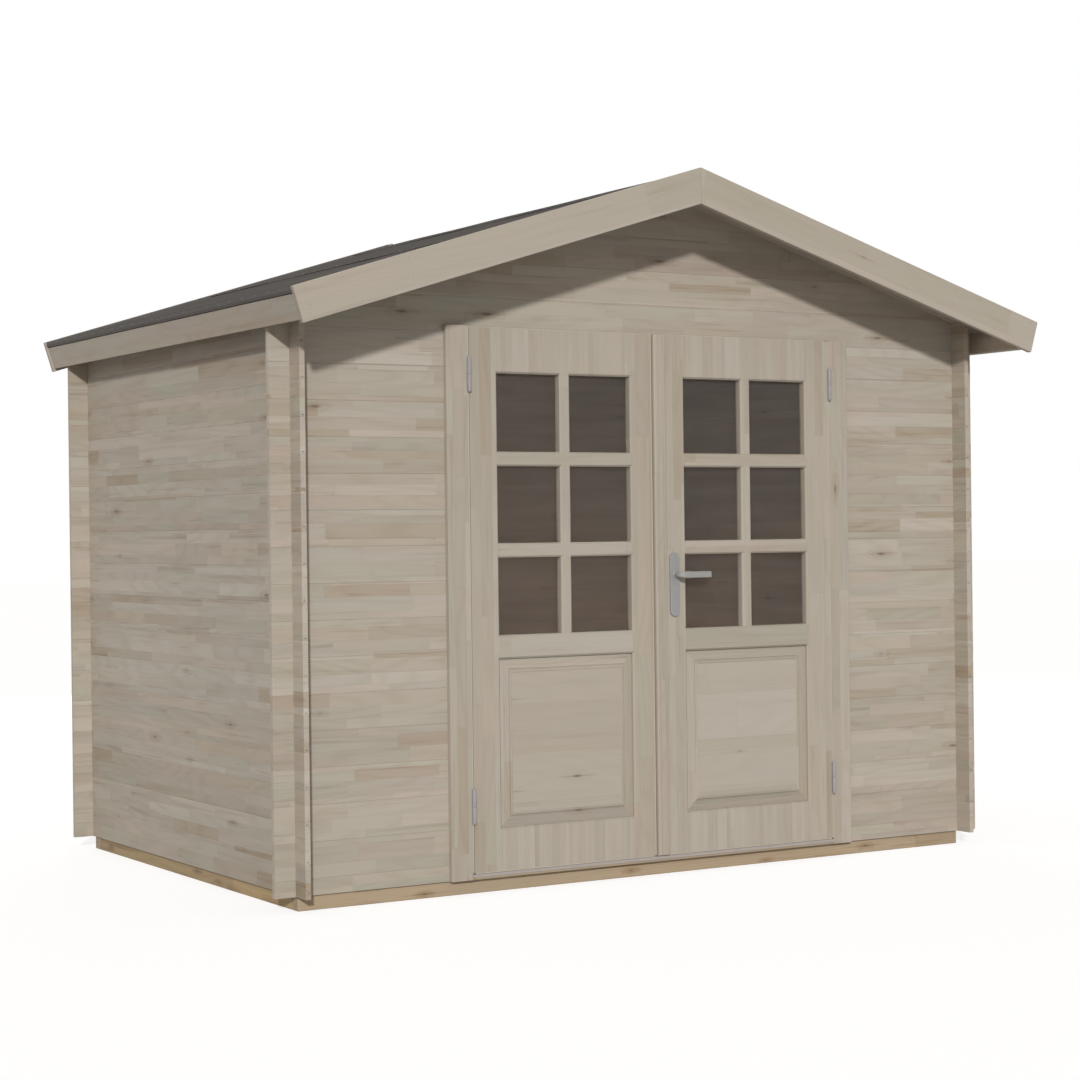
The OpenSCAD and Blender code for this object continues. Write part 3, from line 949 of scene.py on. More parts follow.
class Recipe:
    """A Geometry Nodes tree with named inputs, run once to make a plain mesh."""

    title = "recipe"
    inputs: dict[str, str] = {}

    def __init__(self) -> None:
        """Builds the tree, or takes the one that was built before."""
        self.tree = bpy.data.node_groups.get(self.title)
        if self.tree is None:
            self.tree = bpy.data.node_groups.new(self.title, "GeometryNodeTree")
            face = self.tree.interface
            face.new_socket("Geometry", in_out="INPUT", socket_type="NodeSocketGeometry")
            for name, kind in self.inputs.items():
                face.new_socket(name, in_out="INPUT", socket_type=kind)
            face.new_socket("Geometry", in_out="OUTPUT", socket_type="NodeSocketGeometry")
            sheet = Sheet(self.tree)
            given = sheet.add("NodeGroupInput", {}, {})
            whole = sheet.add("GeometryNodeRealizeInstances", {}, {0: self.build(sheet, given)})
            dressed = sheet.add("GeometryNodeSetMaterial", {}, {
                "Geometry": whole.out(), "Material": given.out("Finish"),
            })
            sheet.add("NodeGroupOutput", {}, {"Geometry": dressed.out()})

    def build(self, sheet: Sheet, given: Node) -> Socket:
        """Adds the recipe's own nodes and gives their geometry."""
        raise NotImplementedError

    def run(self, name: str, start: bpy.types.Mesh, values: dict) -> bpy.types.Object:
        """Runs the tree on a starting mesh.

        Args:
            name: the new object's name.
            start: the mesh that goes in.
            values: the inputs' values by name.

        Returns:
            An object with the plain result.
        """
        piece = stand(name, start)
        modifier = piece.modifiers.new(self.title, "NODES")
        modifier.node_group = self.tree
        for item in self.tree.interface.items_tree:
            if item.in_out == "INPUT" and item.name in values:
                modifier[item.identifier] = values[item.name]
        settle(piece)
        form = bmesh.new()
        form.from_mesh(piece.data)
        bmesh.ops.remove_doubles(form, verts=form.verts, dist=1e-6)
        bmesh.ops.recalc_face_normals(form, faces=form.faces)
        form.to_mesh(piece.data)
        form.free()
        return piece


class BoardRow(Recipe):
    """A row of boards with eased edges, side by side with a narrow gap.

    The boards run along X from the origin and are laid side by side along Y; then the
    row is turned and moved to its place.
    """

    title = "Board row"
    inputs = {
        "Count": "NodeSocketInt",
        "Length": "NodeSocketFloat",
        "Pitch": "NodeSocketFloat",
        "Gap": "NodeSocketFloat",
        "Thickness": "NodeSocketFloat",
        "Ease": "NodeSocketFloat",
        "Place": "NodeSocketVector",
        "Turn": "NodeSocketVector",
        "Finish": "NodeSocketMaterial",
    }

    def build(self, sheet: Sheet, given: Node) -> Socket:
        """Draws one board's section along its length and repeats it.

        Args:
            sheet: the recipe's sheet.
            given: the node with the recipe's inputs.

        Returns:
            The geometry.
        """
        length, pitch, thick = given.out("Length"), given.out("Pitch"), given.out("Thickness")
        path = sheet.add("GeometryNodeCurvePrimitiveLine", {}, {
            "Start": (0.0, 0.0, 0.0), "End": sheet.vector(length, 0.0, 0.0),
        })
        section = sheet.add("GeometryNodeCurvePrimitiveQuadrilateral", {}, {
            "Width": pitch - given.out("Gap"), "Height": thick,
        })
        soft = sheet.add("GeometryNodeFilletCurve", {"mode": "POLY"}, {
            "Curve": section.out(), "Radius": given.out("Ease"), "Count": 2,
        })
        board = sheet.add("GeometryNodeCurveToMesh", {}, {
            "Curve": path.out(), "Profile Curve": soft.out(), "Fill Caps": True,
        })
        places = sheet.add("GeometryNodeMeshLine", {}, {
            "Count": given.out("Count"),
            "Start Location": sheet.vector(0.0, pitch * 0.5, thick * 0.5),
            "Offset": sheet.vector(0.0, pitch, 0.0),
        })
        row = sheet.add("GeometryNodeInstanceOnPoints", {}, {
            "Points": places.out(), "Instance": board.out(),
        })
        whole = sheet.add("GeometryNodeRealizeInstances", {}, {0: row.out()})
        moved = sheet.add("GeometryNodeTransform", {}, {
            "Geometry": whole.out(), "Translation": given.out("Place"),
            "Rotation": given.out("Turn"),
        })
        return moved.out()


class Heads(Recipe):
    """Nail or screw heads on given points, each turned to its point's facing."""

    title = "Heads"
    inputs = {
        "Radius": "NodeSocketFloat",
        "Height": "NodeSocketFloat",
        "Finish": "NodeSocketMaterial",
    }

    def build(self, sheet: Sheet, given: Node) -> Socket:
        """Makes one low domed head and sets it on every point.

        Args:
            sheet: the recipe's sheet.
            given: the node with the recipe's inputs.

        Returns:
            The geometry.
        """
        radius, height = given.out("Radius"), given.out("Height")
        head = sheet.add("GeometryNodeMeshCone", {}, {
            "Vertices": 12, "Radius Top": radius * 0.7, "Radius Bottom": radius,
            "Depth": height,
        })
        facing = sheet.add(
            "GeometryNodeInputNamedAttribute", {"data_type": "FLOAT_VECTOR"}, {"Name": "facing"}
        )
        turn = sheet.add("FunctionNodeAlignRotationToVector", {"axis": "Z"}, {
            "Vector": facing.out("Attribute"),
        })
        return sheet.add("GeometryNodeInstanceOnPoints", {}, {
            "Points": given.out("Geometry"), "Instance": head.out(), "Rotation": turn.out(),
        }).out()

    def set(
        self, name: str, spots: list[tuple[Point, Point]], size: Flat, metal: Finish,
        body: str = "cabin", slot: str = "hinge_metal",
    ) -> None:
        """Sets heads on spots and rides them on a body.

        Args:
            name: the new piece's name.
            spots: pairs of a place and the direction that the head faces.
            size: a head's radius and height.
            metal: the finish.
            body: the body that the heads move with.
            slot: the record's material slot.
        """
        cloud = bpy.data.meshes.new(name)
        cloud.from_pydata([spot for spot, _ in spots], [], [])
        facing = cloud.attributes.new("facing", "FLOAT_VECTOR", "POINT")
        for item, (_, way) in zip(facing.data, spots):
            item.vector = way
        values = {"Radius": size[0], "Height": size[1], "Finish": metal.material()}
        fit(self.run(name, cloud, values), body, slot)


# --------------------------------------------------------------- sub-assemblies


@dataclass
class Base:
    """The beams, the joists and the boarded floor."""

    boards: int = 30
    side_boards: int = 5
    gap: float = 0.0012
    ease: float = 0.0018
    beam_ease: float = 0.003
    post_clear: float = 0.002
    nail: Flat = (0.0032, 0.0006)
    nail_in: float = 0.022
    nail_up: float = 0.0001

    def build(self) -> None:
        """Builds the base from the ground up."""
        across = Pine(
            "beam_across", Grain.LEVEL_X, strip=0.6, piece=2.7, knots=0.85, contrast=1.7,
            seed=3.0, palette=ROUGH,
        )
        along = replace(
            across, name="beam_along", grain=Grain.LEVEL_Y, knots=0.8, seed=5.0, palette=SANDY
        )
        for node, finish in {
            "front_sill_beam": across, "back_sill_beam": across, "floor_joists": across,
            "left_sill_beam": along, "right_sill_beam": along,
        }.items():
            eased(node, "cabin", "beam_wood", finish, self.beam_ease)
        self.lay_floor()

    def lay_floor(self) -> None:
        """Lays the floor boards, shorter behind the doorway, and nails them down."""
        low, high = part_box("floor_deck")
        pitch = (high.x - low.x) / self.boards
        finish = Pine(
            "floor_boards", Grain.FLAT_Y, pitch, low.x, strip=0.05, piece=0.9, seam=0.45,
            knots=0.35, contrast=1.1, seed=9.0,
        )
        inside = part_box("left_door_post")[1].y + self.post_clear
        middle = self.boards - 2 * self.side_boards
        form = bmesh.new()
        for count, first, start in (
            (self.side_boards, 0, low.y),
            (middle, self.side_boards, inside),
            (self.side_boards, self.side_boards + middle, low.y),
        ):
            part = BoardRow().run("row", bpy.data.meshes.new("row"), {
                "Count": count, "Length": high.y - start, "Pitch": pitch, "Gap": self.gap,
                "Thickness": high.z - low.z, "Ease": self.ease,
                "Place": (low.x + (first + count) * pitch, start, low.z),
                "Turn": (0.0, 0.0, math.pi / 2), "Finish": finish.material(),
            })
            form.from_mesh(part.data)
            bpy.data.objects.remove(part)
        mesh = bpy.data.meshes.new("floor_boards")
        form.to_mesh(mesh)
        form.free()
        mesh.materials.append(finish.material())
        fit(stand("floor_boards", mesh), "cabin", "floor_wood", "floor_deck")

        near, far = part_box("floor_joists")
        rows = [near.y + self.nail_in, (near.y + far.y) / 2, far.y - self.nail_in]
        spots = [
            ((low.x + (k + part) * pitch, y, high.z + self.nail_up), (0.0, 0.0, 1.0))
            for k in range(self.boards) for part in (0.25, 0.75) for y in rows
        ]
        Heads().set("floor_nails", spots, self.nail, STEEL_UP)


@dataclass
class Walls:
    """The log walls and the gables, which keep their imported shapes."""

    log_height: float = 0.121
    part_log: float = 0.0545

    def build(self) -> None:
        """Dresses the four walls, the side walls half a log higher than the others."""
        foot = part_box("front_sill_beam")[1].z + self.part_log
        half = self.log_height / 2
        left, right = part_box("left_wall_logs")[0].x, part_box("right_wall_logs")[1].x
        front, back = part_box("front_wall_left_logs")[0].y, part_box("back_wall_logs")[1].y
        half_log = (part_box("front_wall_left_logs")[1].y - front) / 2
        room = (left + half_log, right - half_log, front + half_log, back - half_log)
        # seam below 0 is painted light along the log joints, which lifts the shade of their
        # grooves.
        level = Pine(
            "front_logs", Grain.LEVEL_X, self.log_height, foot, seam=-0.22, seed=1.0,
            end_light=0.08, room=room,
        )
        deep = replace(
            level, name="left_logs", grain=Grain.LEVEL_Y, start=foot + half, seam=-0.34,
            seed=70.0, contrast=1.2,
        )
        for finish, nodes in (
            (level, ("front_wall_left_logs", "front_wall_right_logs", "front_gable_logs")),
            (replace(level, name="back_logs", seed=40.0), ("back_wall_logs", "back_gable_logs")),
            (deep, ("left_wall_logs",)),
            (replace(deep, name="right_logs", seed=110.0), ("right_wall_logs",)),
        ):
            for node in nodes:
                dress(node, finish)


@dataclass
class Roof:
    """The boarded roof with its purlins, felt, bargeboards and fascias.

    Attributes:
        deck: the boards' thickness. Each deck size is about these boards.
        felt: the felt's thickness.
        felt_back: how far the felt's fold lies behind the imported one's edge.
        felt_up: how far the felt lies above the boards.
        fold: the fold at the eave, as pairs of a way out and a way up.
        hem: where the folded edge ends above the boards' underside.
        lap: how far down the slope the upper strip starts to cover the lower one.
        cap: how far the ridge strip reaches down each slope.
        cap_rows: the places down the slope where its section has more corners.
        nail_in: how far felt nails lie in from the fold, the lap's edge and the cap's.
        head_up: how far their heads lie above the slopes' and the ridge's felt.
        turn_up: how far the felt turned up at the back stays off the board and its top.
        trim_nails_down: where a bargeboard's nails lie down the slope.
        trim_nails_up: where they lie above the boards' underside.
        reach: how far down the slope the felt's fold lies.
    """

    slope: float = math.radians(17.1)
    boards: int = 25
    deck: float = 0.016
    deck_gap: float = 0.0015
    deck_ease: float = 0.0030
    deck_back: float = 0.001
    felt: float = 0.0022
    felt_back: float = 0.0035
    felt_up: float = 0.0004
    felt_ease: float = 0.0006
    fold_in: float = 0.0033
    fold: tuple[Flat, ...] = ((-0.0030, 0.0), (-0.0009, -0.0009), (0.0, -0.0030), (0.0, -0.0075))
    hem: float = 0.0042
    lap: float = 0.78
    lap_width: float = 0.10
    lap_up: float = 0.0011
    cap: float = 0.19
    cap_up: float = 0.0012
    cap_rows: Point = (0.012, 0.03, 0.1)
    sections: int = 46
    felt_nail: Flat = (0.0050, 0.0011)
    felt_nails: int = 23
    nail_first: float = 0.05
    nail_pitch: float = 0.10
    nail_in: Point = (0.030, 0.020, 0.02)
    head_up: Flat = (0.0009, 0.0008)
    ripple: float = 0.0005
    cap_ripple: float = 0.0006
    turn_up: Flat = (0.0003, 0.0006)
    trim_ease: float = 0.0022
    trim_nail: Flat = (0.0020, 0.0004)
    trim_nails_down: tuple[float, ...] = (0.035, 0.62, 0.655, 1.20, 1.585)
    trim_nails_up: Flat = (-0.045, 0.010)
    apex: float = field(init=False)
    front: float = field(init=False)
    back: float = field(init=False)
    reach: float = field(init=False)

    def __post_init__(self) -> None:
        """Takes the ridge, the gable ends and the felt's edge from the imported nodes."""
        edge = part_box("right_roof_felt")[1].x - (self.deck + self.fold_in) * math.sin(self.slope)
        self.reach = edge / math.cos(self.slope) - self.felt_back
        low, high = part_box("left_roof_deck")
        self.apex = high.z - self.deck / math.cos(self.slope)
        self.front, self.back = low.y, high.y

    def at(self, side: int, down: float, y: float, up: float) -> Point:
        """Gives the point so far down a slope and so far above its boards' underside."""
        cos, sin = math.cos(self.slope), math.sin(self.slope)
        return side * (down * cos + up * sin), y, self.apex - down * sin + up * cos

    def places(self) -> list[float]:
        """Gives the places on Y of the felt's sections."""
        length = self.back - self.front
        return [self.front + length * k / self.sections for k in range(self.sections + 1)]

    def build(self) -> None:
        """Builds the roof from the boards out."""
        for side, word in ((-1, "left"), (1, "right")):
            self.lay_boards(side, word)
            self.lay_felt(side, word)
            self.trim(side, word)
        for node, seed in (("ridge_purlin", 21.0), ("side_purlins", 23.0)):
            finish = Pine(
                f"{node}_wood", Grain.LEVEL_Y, strip=0.3, piece=1.9, knots=0.4, seed=seed
            )
            eased(node, "cabin", "roof_wood", finish, 0.003)
        self.lay_cap()

    def lay_boards(self, side: int, word: str) -> None:
        """Lays one slope's boards side by side, from the ridge to the eave.

        Args:
            side: -1 for the left slope, 1 for the right one.
            word: the slope's name.
        """
        pitch = (self.back - self.front) / self.boards
        low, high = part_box(f"{word}_roof_deck")
        length = high.x if side > 0 else -low.x
        length = (length - self.deck * math.sin(self.slope)) / math.cos(self.slope)
        # lift=1.05 is painted light that lifts the boards' underside, which shows only in shade
        # under the eaves.
        finish = Pine(
            f"{word}_roof_boards", Grain.SLOPE, pitch, self.front, strip=0.06, piece=1.3,
            seam=0.35, knots=0.20, slope=side * self.slope, seed=31.0 + side, lift=1.05,
        )
        start = self.front if side > 0 else self.back
        deck = BoardRow().run(f"{word}_roof_boards", bpy.data.meshes.new("deck"), {
            "Count": self.boards, "Length": length - self.deck_back, "Pitch": pitch,
            "Gap": self.deck_gap, "Thickness": self.deck, "Ease": self.deck_ease,
            "Place": self.at(side, self.deck_back, start, 0),
            "Turn": (0.0, self.slope, 0.0 if side > 0 else math.pi),
            "Finish": finish.material(),
        })
        fit(deck, "cabin", "roof_wood", f"{word}_roof_deck")

    def strip(self, side: int, profile: list[Flat], seed: float) -> list[list[Point]]:
        """Runs a felt strip's section from the front to the back, a little wavy.

        Args:
            side: -1 for the left slope, 1 for the right one.
            profile: the strip's underside, from the upper edge down: how far down the
                slope and how far above the boards' underside.
            seed: where the waves start.

        Returns:
            The rings of the closed strip.
        """
        last = len(profile) - 1
        spread = []
        for k, (down, up) in enumerate(profile):
            before, after = profile[max(k - 1, 0)], profile[min(k + 1, last)]
            run, climb = after[0] - before[0], after[1] - before[1]
            share = self.felt / math.hypot(run, climb)
            spread.append((down, up, down - climb * share, up + run * share))
        rings = []
        for y in self.places():
            low, top = [], []
            for down, up, down_top, up_top in spread:
                wave = math.sin(y * 9.1 + down * 7 + seed) * math.sin(y * 3.7 - down * 11)
                lift = self.ripple * (wave + 1)
                edge = self.ripple * math.sin(y * 6.3 + seed * 3)
                low.append(self.at(side, down + edge, y, up + lift))
                top.append(self.at(side, down_top + edge, y, up_top + lift))
            rings.append(low + top[::-1])
        return rings

    def lay_felt(self, side: int, word: str) -> None:
        """Lays two strips of felt on a slope, the upper one lapped over the lower.

        Args:
            side: -1 for the left slope, 1 for the right one.
            word: the slope's name.
        """
        bed = self.deck + self.felt_up
        over = bed + self.felt + self.lap_up
        form = Form()
        lower = [(self.lap + (self.reach - 0.02 - self.lap) * k / 10, bed) for k in range(11)]
        lower += [(self.reach + out, bed + up) for out, up in self.fold]
        form.rings(self.strip(side, [*lower, (self.reach, self.hem)], 1.0))
        upper = [(0.01 + (self.lap - 0.05) * k / 9, bed) for k in range(9)]
        upper += [(self.lap - 0.03, bed), (self.lap - 0.004, over)]
        upper += [(self.lap + self.lap_width * k / 4, over) for k in range(1, 5)]
        form.rings(self.strip(side, upper, 4.0))

        # The felt is turned up behind the back bargeboard.
        crest = (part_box(f"back_{word}_bargeboard")[1].z - self.apex) * math.cos(self.slope)
        off, short = self.turn_up
        near, far, top = self.back - self.felt, self.back - off, crest - short
        form.rings([
            [self.at(side, down, *p) for p in ((near, bed), (far, bed), (far, top), (near, top))]
            for down in (self.cap_rows[0], self.reach)
        ])
        felt = form.piece(f"{word}_felt", [Felt("felt_sheet", 2.0)], self.felt_ease, 1)
        fit(felt, "cabin", "roof_felt", f"{word}_roof_felt")
        at_fold, at_lap, _ = self.nail_in
        up, _ = self.head_up
        self.nail_felt(f"{word}_felt_nails", (
            (side, self.reach - at_fold, bed + self.felt + up),
            (side, self.lap + self.lap_width - at_lap, over + self.felt + up),
        ))

    def lay_cap(self) -> None:
        """Lays the strip of felt that covers the ridge, and nails both its edges."""
        up = self.deck + self.felt_up + self.felt + self.cap_up
        right = [(1, down) for down in (*self.cap_rows, self.cap)]
        rings = []
        for y in self.places():
            low, top = [], []
            for side, down in [(-1, down) for _, down in right[::-1]] + right:
                lift = up + self.cap_ripple * math.sin(y * 8.3 + down * 23)
                low.append(self.at(side, down, y, lift))
                top.append(self.at(side, down, y, lift + self.felt))
            rings.append(low + top[::-1])
        form = Form()
        form.rings(rings)
        cap = form.piece("ridge_felt", [Felt("felt_cap", 7.0)], self.felt_ease, 1)
        fit(cap, "cabin", "roof_felt")
        down, up = self.cap - self.nail_in[2], up + self.felt + self.head_up[1]
        self.nail_felt("ridge_felt_nails", ((-1, down, up), (1, down, up)))

    def nail_felt(self, name: str, rows: tuple[tuple[int, float, float], ...]) -> None:
        """Nails felt down along rows from the front to the back.

        Args:
            name: the nails' name.
            rows: each row's slope, and how far down and above the boards' underside it lies.
        """
        cos, sin = math.cos(self.slope), math.sin(self.slope)
        spots = [
            (
                self.at(side, down, self.front + self.nail_first + self.nail_pitch * k, up),
                (side * sin, 0.0, cos),
            )
            for side, down, up in rows for k in range(self.felt_nails)
        ]
        Heads().set(name, spots, self.felt_nail, GALVANISED)

    def trim(self, side: int, word: str) -> None:
        """Fixes one slope's bargeboards and fascia, with their nails.

        Args:
            side: -1 for the left slope, 1 for the right one.
            word: the slope's name.
        """
        for end, way in (("front", -1.0), ("back", 1.0)):
            node = f"{end}_{word}_bargeboard"
            finish = Pine(
                f"{node}_wood", Grain.LEVEL_X, strip=0.17, piece=1.5, knots=0.12,
                contrast=0.42, slope=side * self.slope, seed=50.0 + 3 * side + way,
            )
            eased(node, "cabin", "trim_wood", finish, self.trim_ease)
            low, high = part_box(node)
            face = (low.y if way < 0 else high.y) - way * self.trim_nail[1]
            spots = [
                (self.at(side, down, face, up), (0.0, way, 0.0))
                for down in self.trim_nails_down for up in self.trim_nails_up
            ]
            Heads().set(f"{node}_nails", spots, self.trim_nail, STEEL_UP)
        node = f"{word}_fascia"
        finish = Pine(
            f"{node}_wood", Grain.LEVEL_Y, strip=0.12, piece=1.1, knots=0.20, contrast=0.9,
            slope=side * self.slope, seed=61.0 + side,
        )
        # The fascia's inner faces, which look towards the wall, get lift=1.6: painted light that
        # lifts their shade under the eave.
        rear_painted_light = replace(finish, name=f"{node}_rear", lift=1.6)
        eased(
            node, "cabin", "trim_wood", finish, self.trim_ease, rear_painted_light,
            lambda normal: normal.x * side < -0.5,
        )


@dataclass
class Doorway:
    """The posts, the stop over the doors, and the threshold."""

    post_ease: float = 0.0012
    head_ease: float = 0.0015
    board_ease: float = 0.001
    strip_ease: float = 0.0006

    def build(self) -> None:
        """Dresses the posts with upright strips and the rest with level ones."""
        for side, seed in (("left", 71.0), ("right", 83.0)):
            post = Pine(
                f"{side}_post_wood", Grain.UPRIGHT_FRONT, strip=0.038, piece=0.42, knots=0.12,
                contrast=0.9, seed=seed,
            )
            eased(f"{side}_door_post", "cabin", "frame_wood", post, self.post_ease)
        head = Pine("head_wood", Grain.LEVEL_X, strip=0.05, piece=0.6, knots=0.2, seed=91.0)
        eased("door_head_stop", "cabin", "frame_wood", head, self.head_ease)
        board = Pine(
            "threshold_wood", Grain.LEVEL_X, strip=0.6, piece=2.7, knots=0.2, contrast=1.3,
            seed=95.0, palette=ROUGH,
        )
        eased("threshold_board", "cabin", "beam_wood", board, self.board_ease)
        strip = Metal("strip_metal_finish", tone(169, 160, 153), 0, 0.15, 0.6)
        eased("threshold_strip", "cabin", "strip_metal", strip, self.strip_ease)


@dataclass(frozen=True)
class Opening:
    """A rectangular opening through a leaf, its edges chamfered on both faces."""

    x0: float
    x1: float
    z0: float
    z1: float
    chamfer: float = 0.006

    def sink(self, x: float, z: float) -> float:
        """Says how far the faces lie back at a place because of the chamfer.

        Args:
            x: the place on X.
            z: the place on Z.

        Returns:
            The depth, which is nothing away from the opening.
        """
        away = max(self.x0 - x, x - self.x1, self.z0 - z, z - self.z1, 0.0)
        return max(0.0, self.chamfer - away)

    def holds(self, x: float, z: float) -> bool:
        """Says whether a place lies in the opening."""
        return self.x0 < x < self.x1 and self.z0 < z < self.z1


@dataclass
class Carving:
    """A flat wooden piece between two faces, cut round the openings of a leaf."""

    front: float
    back: float
    openings: list[Opening]

    def lines(self, low: float, high: float, upright: bool) -> list[float]:
        """Gives the grid lines between two bounds.

        Args:
            low: the lower bound.
            high: the upper bound.
            upright: whether the lines cut the width or else the height.

        Returns:
            The sorted lines.
        """
        found = {round(low, 6), round(high, 6)}
        for hole in self.openings:
            a, b = (hole.x0, hole.x1) if upright else (hole.z0, hole.z1)
            for at in (a - hole.chamfer, a, b, b + hole.chamfer):
                if low < at < high:
                    found.add(round(at, 6))
        return sorted(found)

    def cut(
        self, form: Form, x0: float, x1: float, z0: float, z1: float, mark: int = 0
    ) -> None:
        """Adds the wood of one rectangle, without the openings, to a form.

        Args:
            form: the form that gets the wood.
            x0: the left bound.
            x1: the right bound.
            z0: the lower bound.
            z1: the upper bound.
            mark: the number of the finish.
        """
        xs, zs = self.lines(x0, x1, True), self.lines(z0, z1, False)
        points: list[Point] = []
        number: dict[tuple[int, int, int], int] = {}

        def corner(i: int, j: int, back: int) -> int:
            """Gives the number of a corner, which is added at its first use.

            Args:
                i: the grid line on X.
                j: the grid line on Z.
                back: 1 for the back face, 0 for the front one.

            Returns:
                The corner's number.
            """
            if (i, j, back) not in number:
                sink = max(hole.sink(xs[i], zs[j]) for hole in self.openings)
                y = self.back - sink if back else self.front + sink
                number[i, j, back] = len(points)
                points.append((xs[i], y, zs[j]))
            return number[i, j, back]

        def wood(i: int, j: int) -> bool:
            """Says whether a cell of the grid holds wood.

            Args:
                i: the grid line on the cell's left.
                j: the grid line below the cell.

            Returns:
                Whether it lies in the grid and outside the openings.
            """
            if not (0 <= i < len(xs) - 1 and 0 <= j < len(zs) - 1):
                return False
            x, z = (xs[i] + xs[i + 1]) / 2, (zs[j] + zs[j + 1]) / 2
            return not any(hole.holds(x, z) for hole in self.openings)

        faces: list[tuple[int, ...]] = []
        for i in range(len(xs) - 1):
            for j in range(len(zs) - 1):
                if not wood(i, j):
                    continue
                round_cell = ((i, j), (i + 1, j), (i + 1, j + 1), (i, j + 1))
                sinks = [
                    max(hole.sink(xs[a], zs[b]) for hole in self.openings)
                    for a, b in round_cell
                ]
                deep = [k for k in range(4) if sinks[k] > 1e-6]
                for back in (0, 1):
                    ring = [corner(a, b, back) for a, b in round_cell]
                    if len(deep) in (1, 3):
                        k = deep[0] if len(deep) == 1 else (sum(range(4)) - sum(deep))
                        ring = ring[k:] + ring[:k]
                        faces += [(ring[0], ring[1], ring[2]), (ring[0], ring[2], ring[3])]
                    else:
                        faces.append(tuple(ring))
                for (a, b), (c, d), next_i, next_j in (
                    ((i, j), (i + 1, j), i, j - 1),
                    ((i + 1, j), (i + 1, j + 1), i + 1, j),
                    ((i + 1, j + 1), (i, j + 1), i, j + 1),
                    ((i, j + 1), (i, j), i - 1, j),
                ):
                    if not wood(next_i, next_j):
                        faces.append((
                            corner(a, b, 0), corner(c, d, 0), corner(c, d, 1), corner(a, b, 1),
                        ))
        form.solid(points, faces, mark)


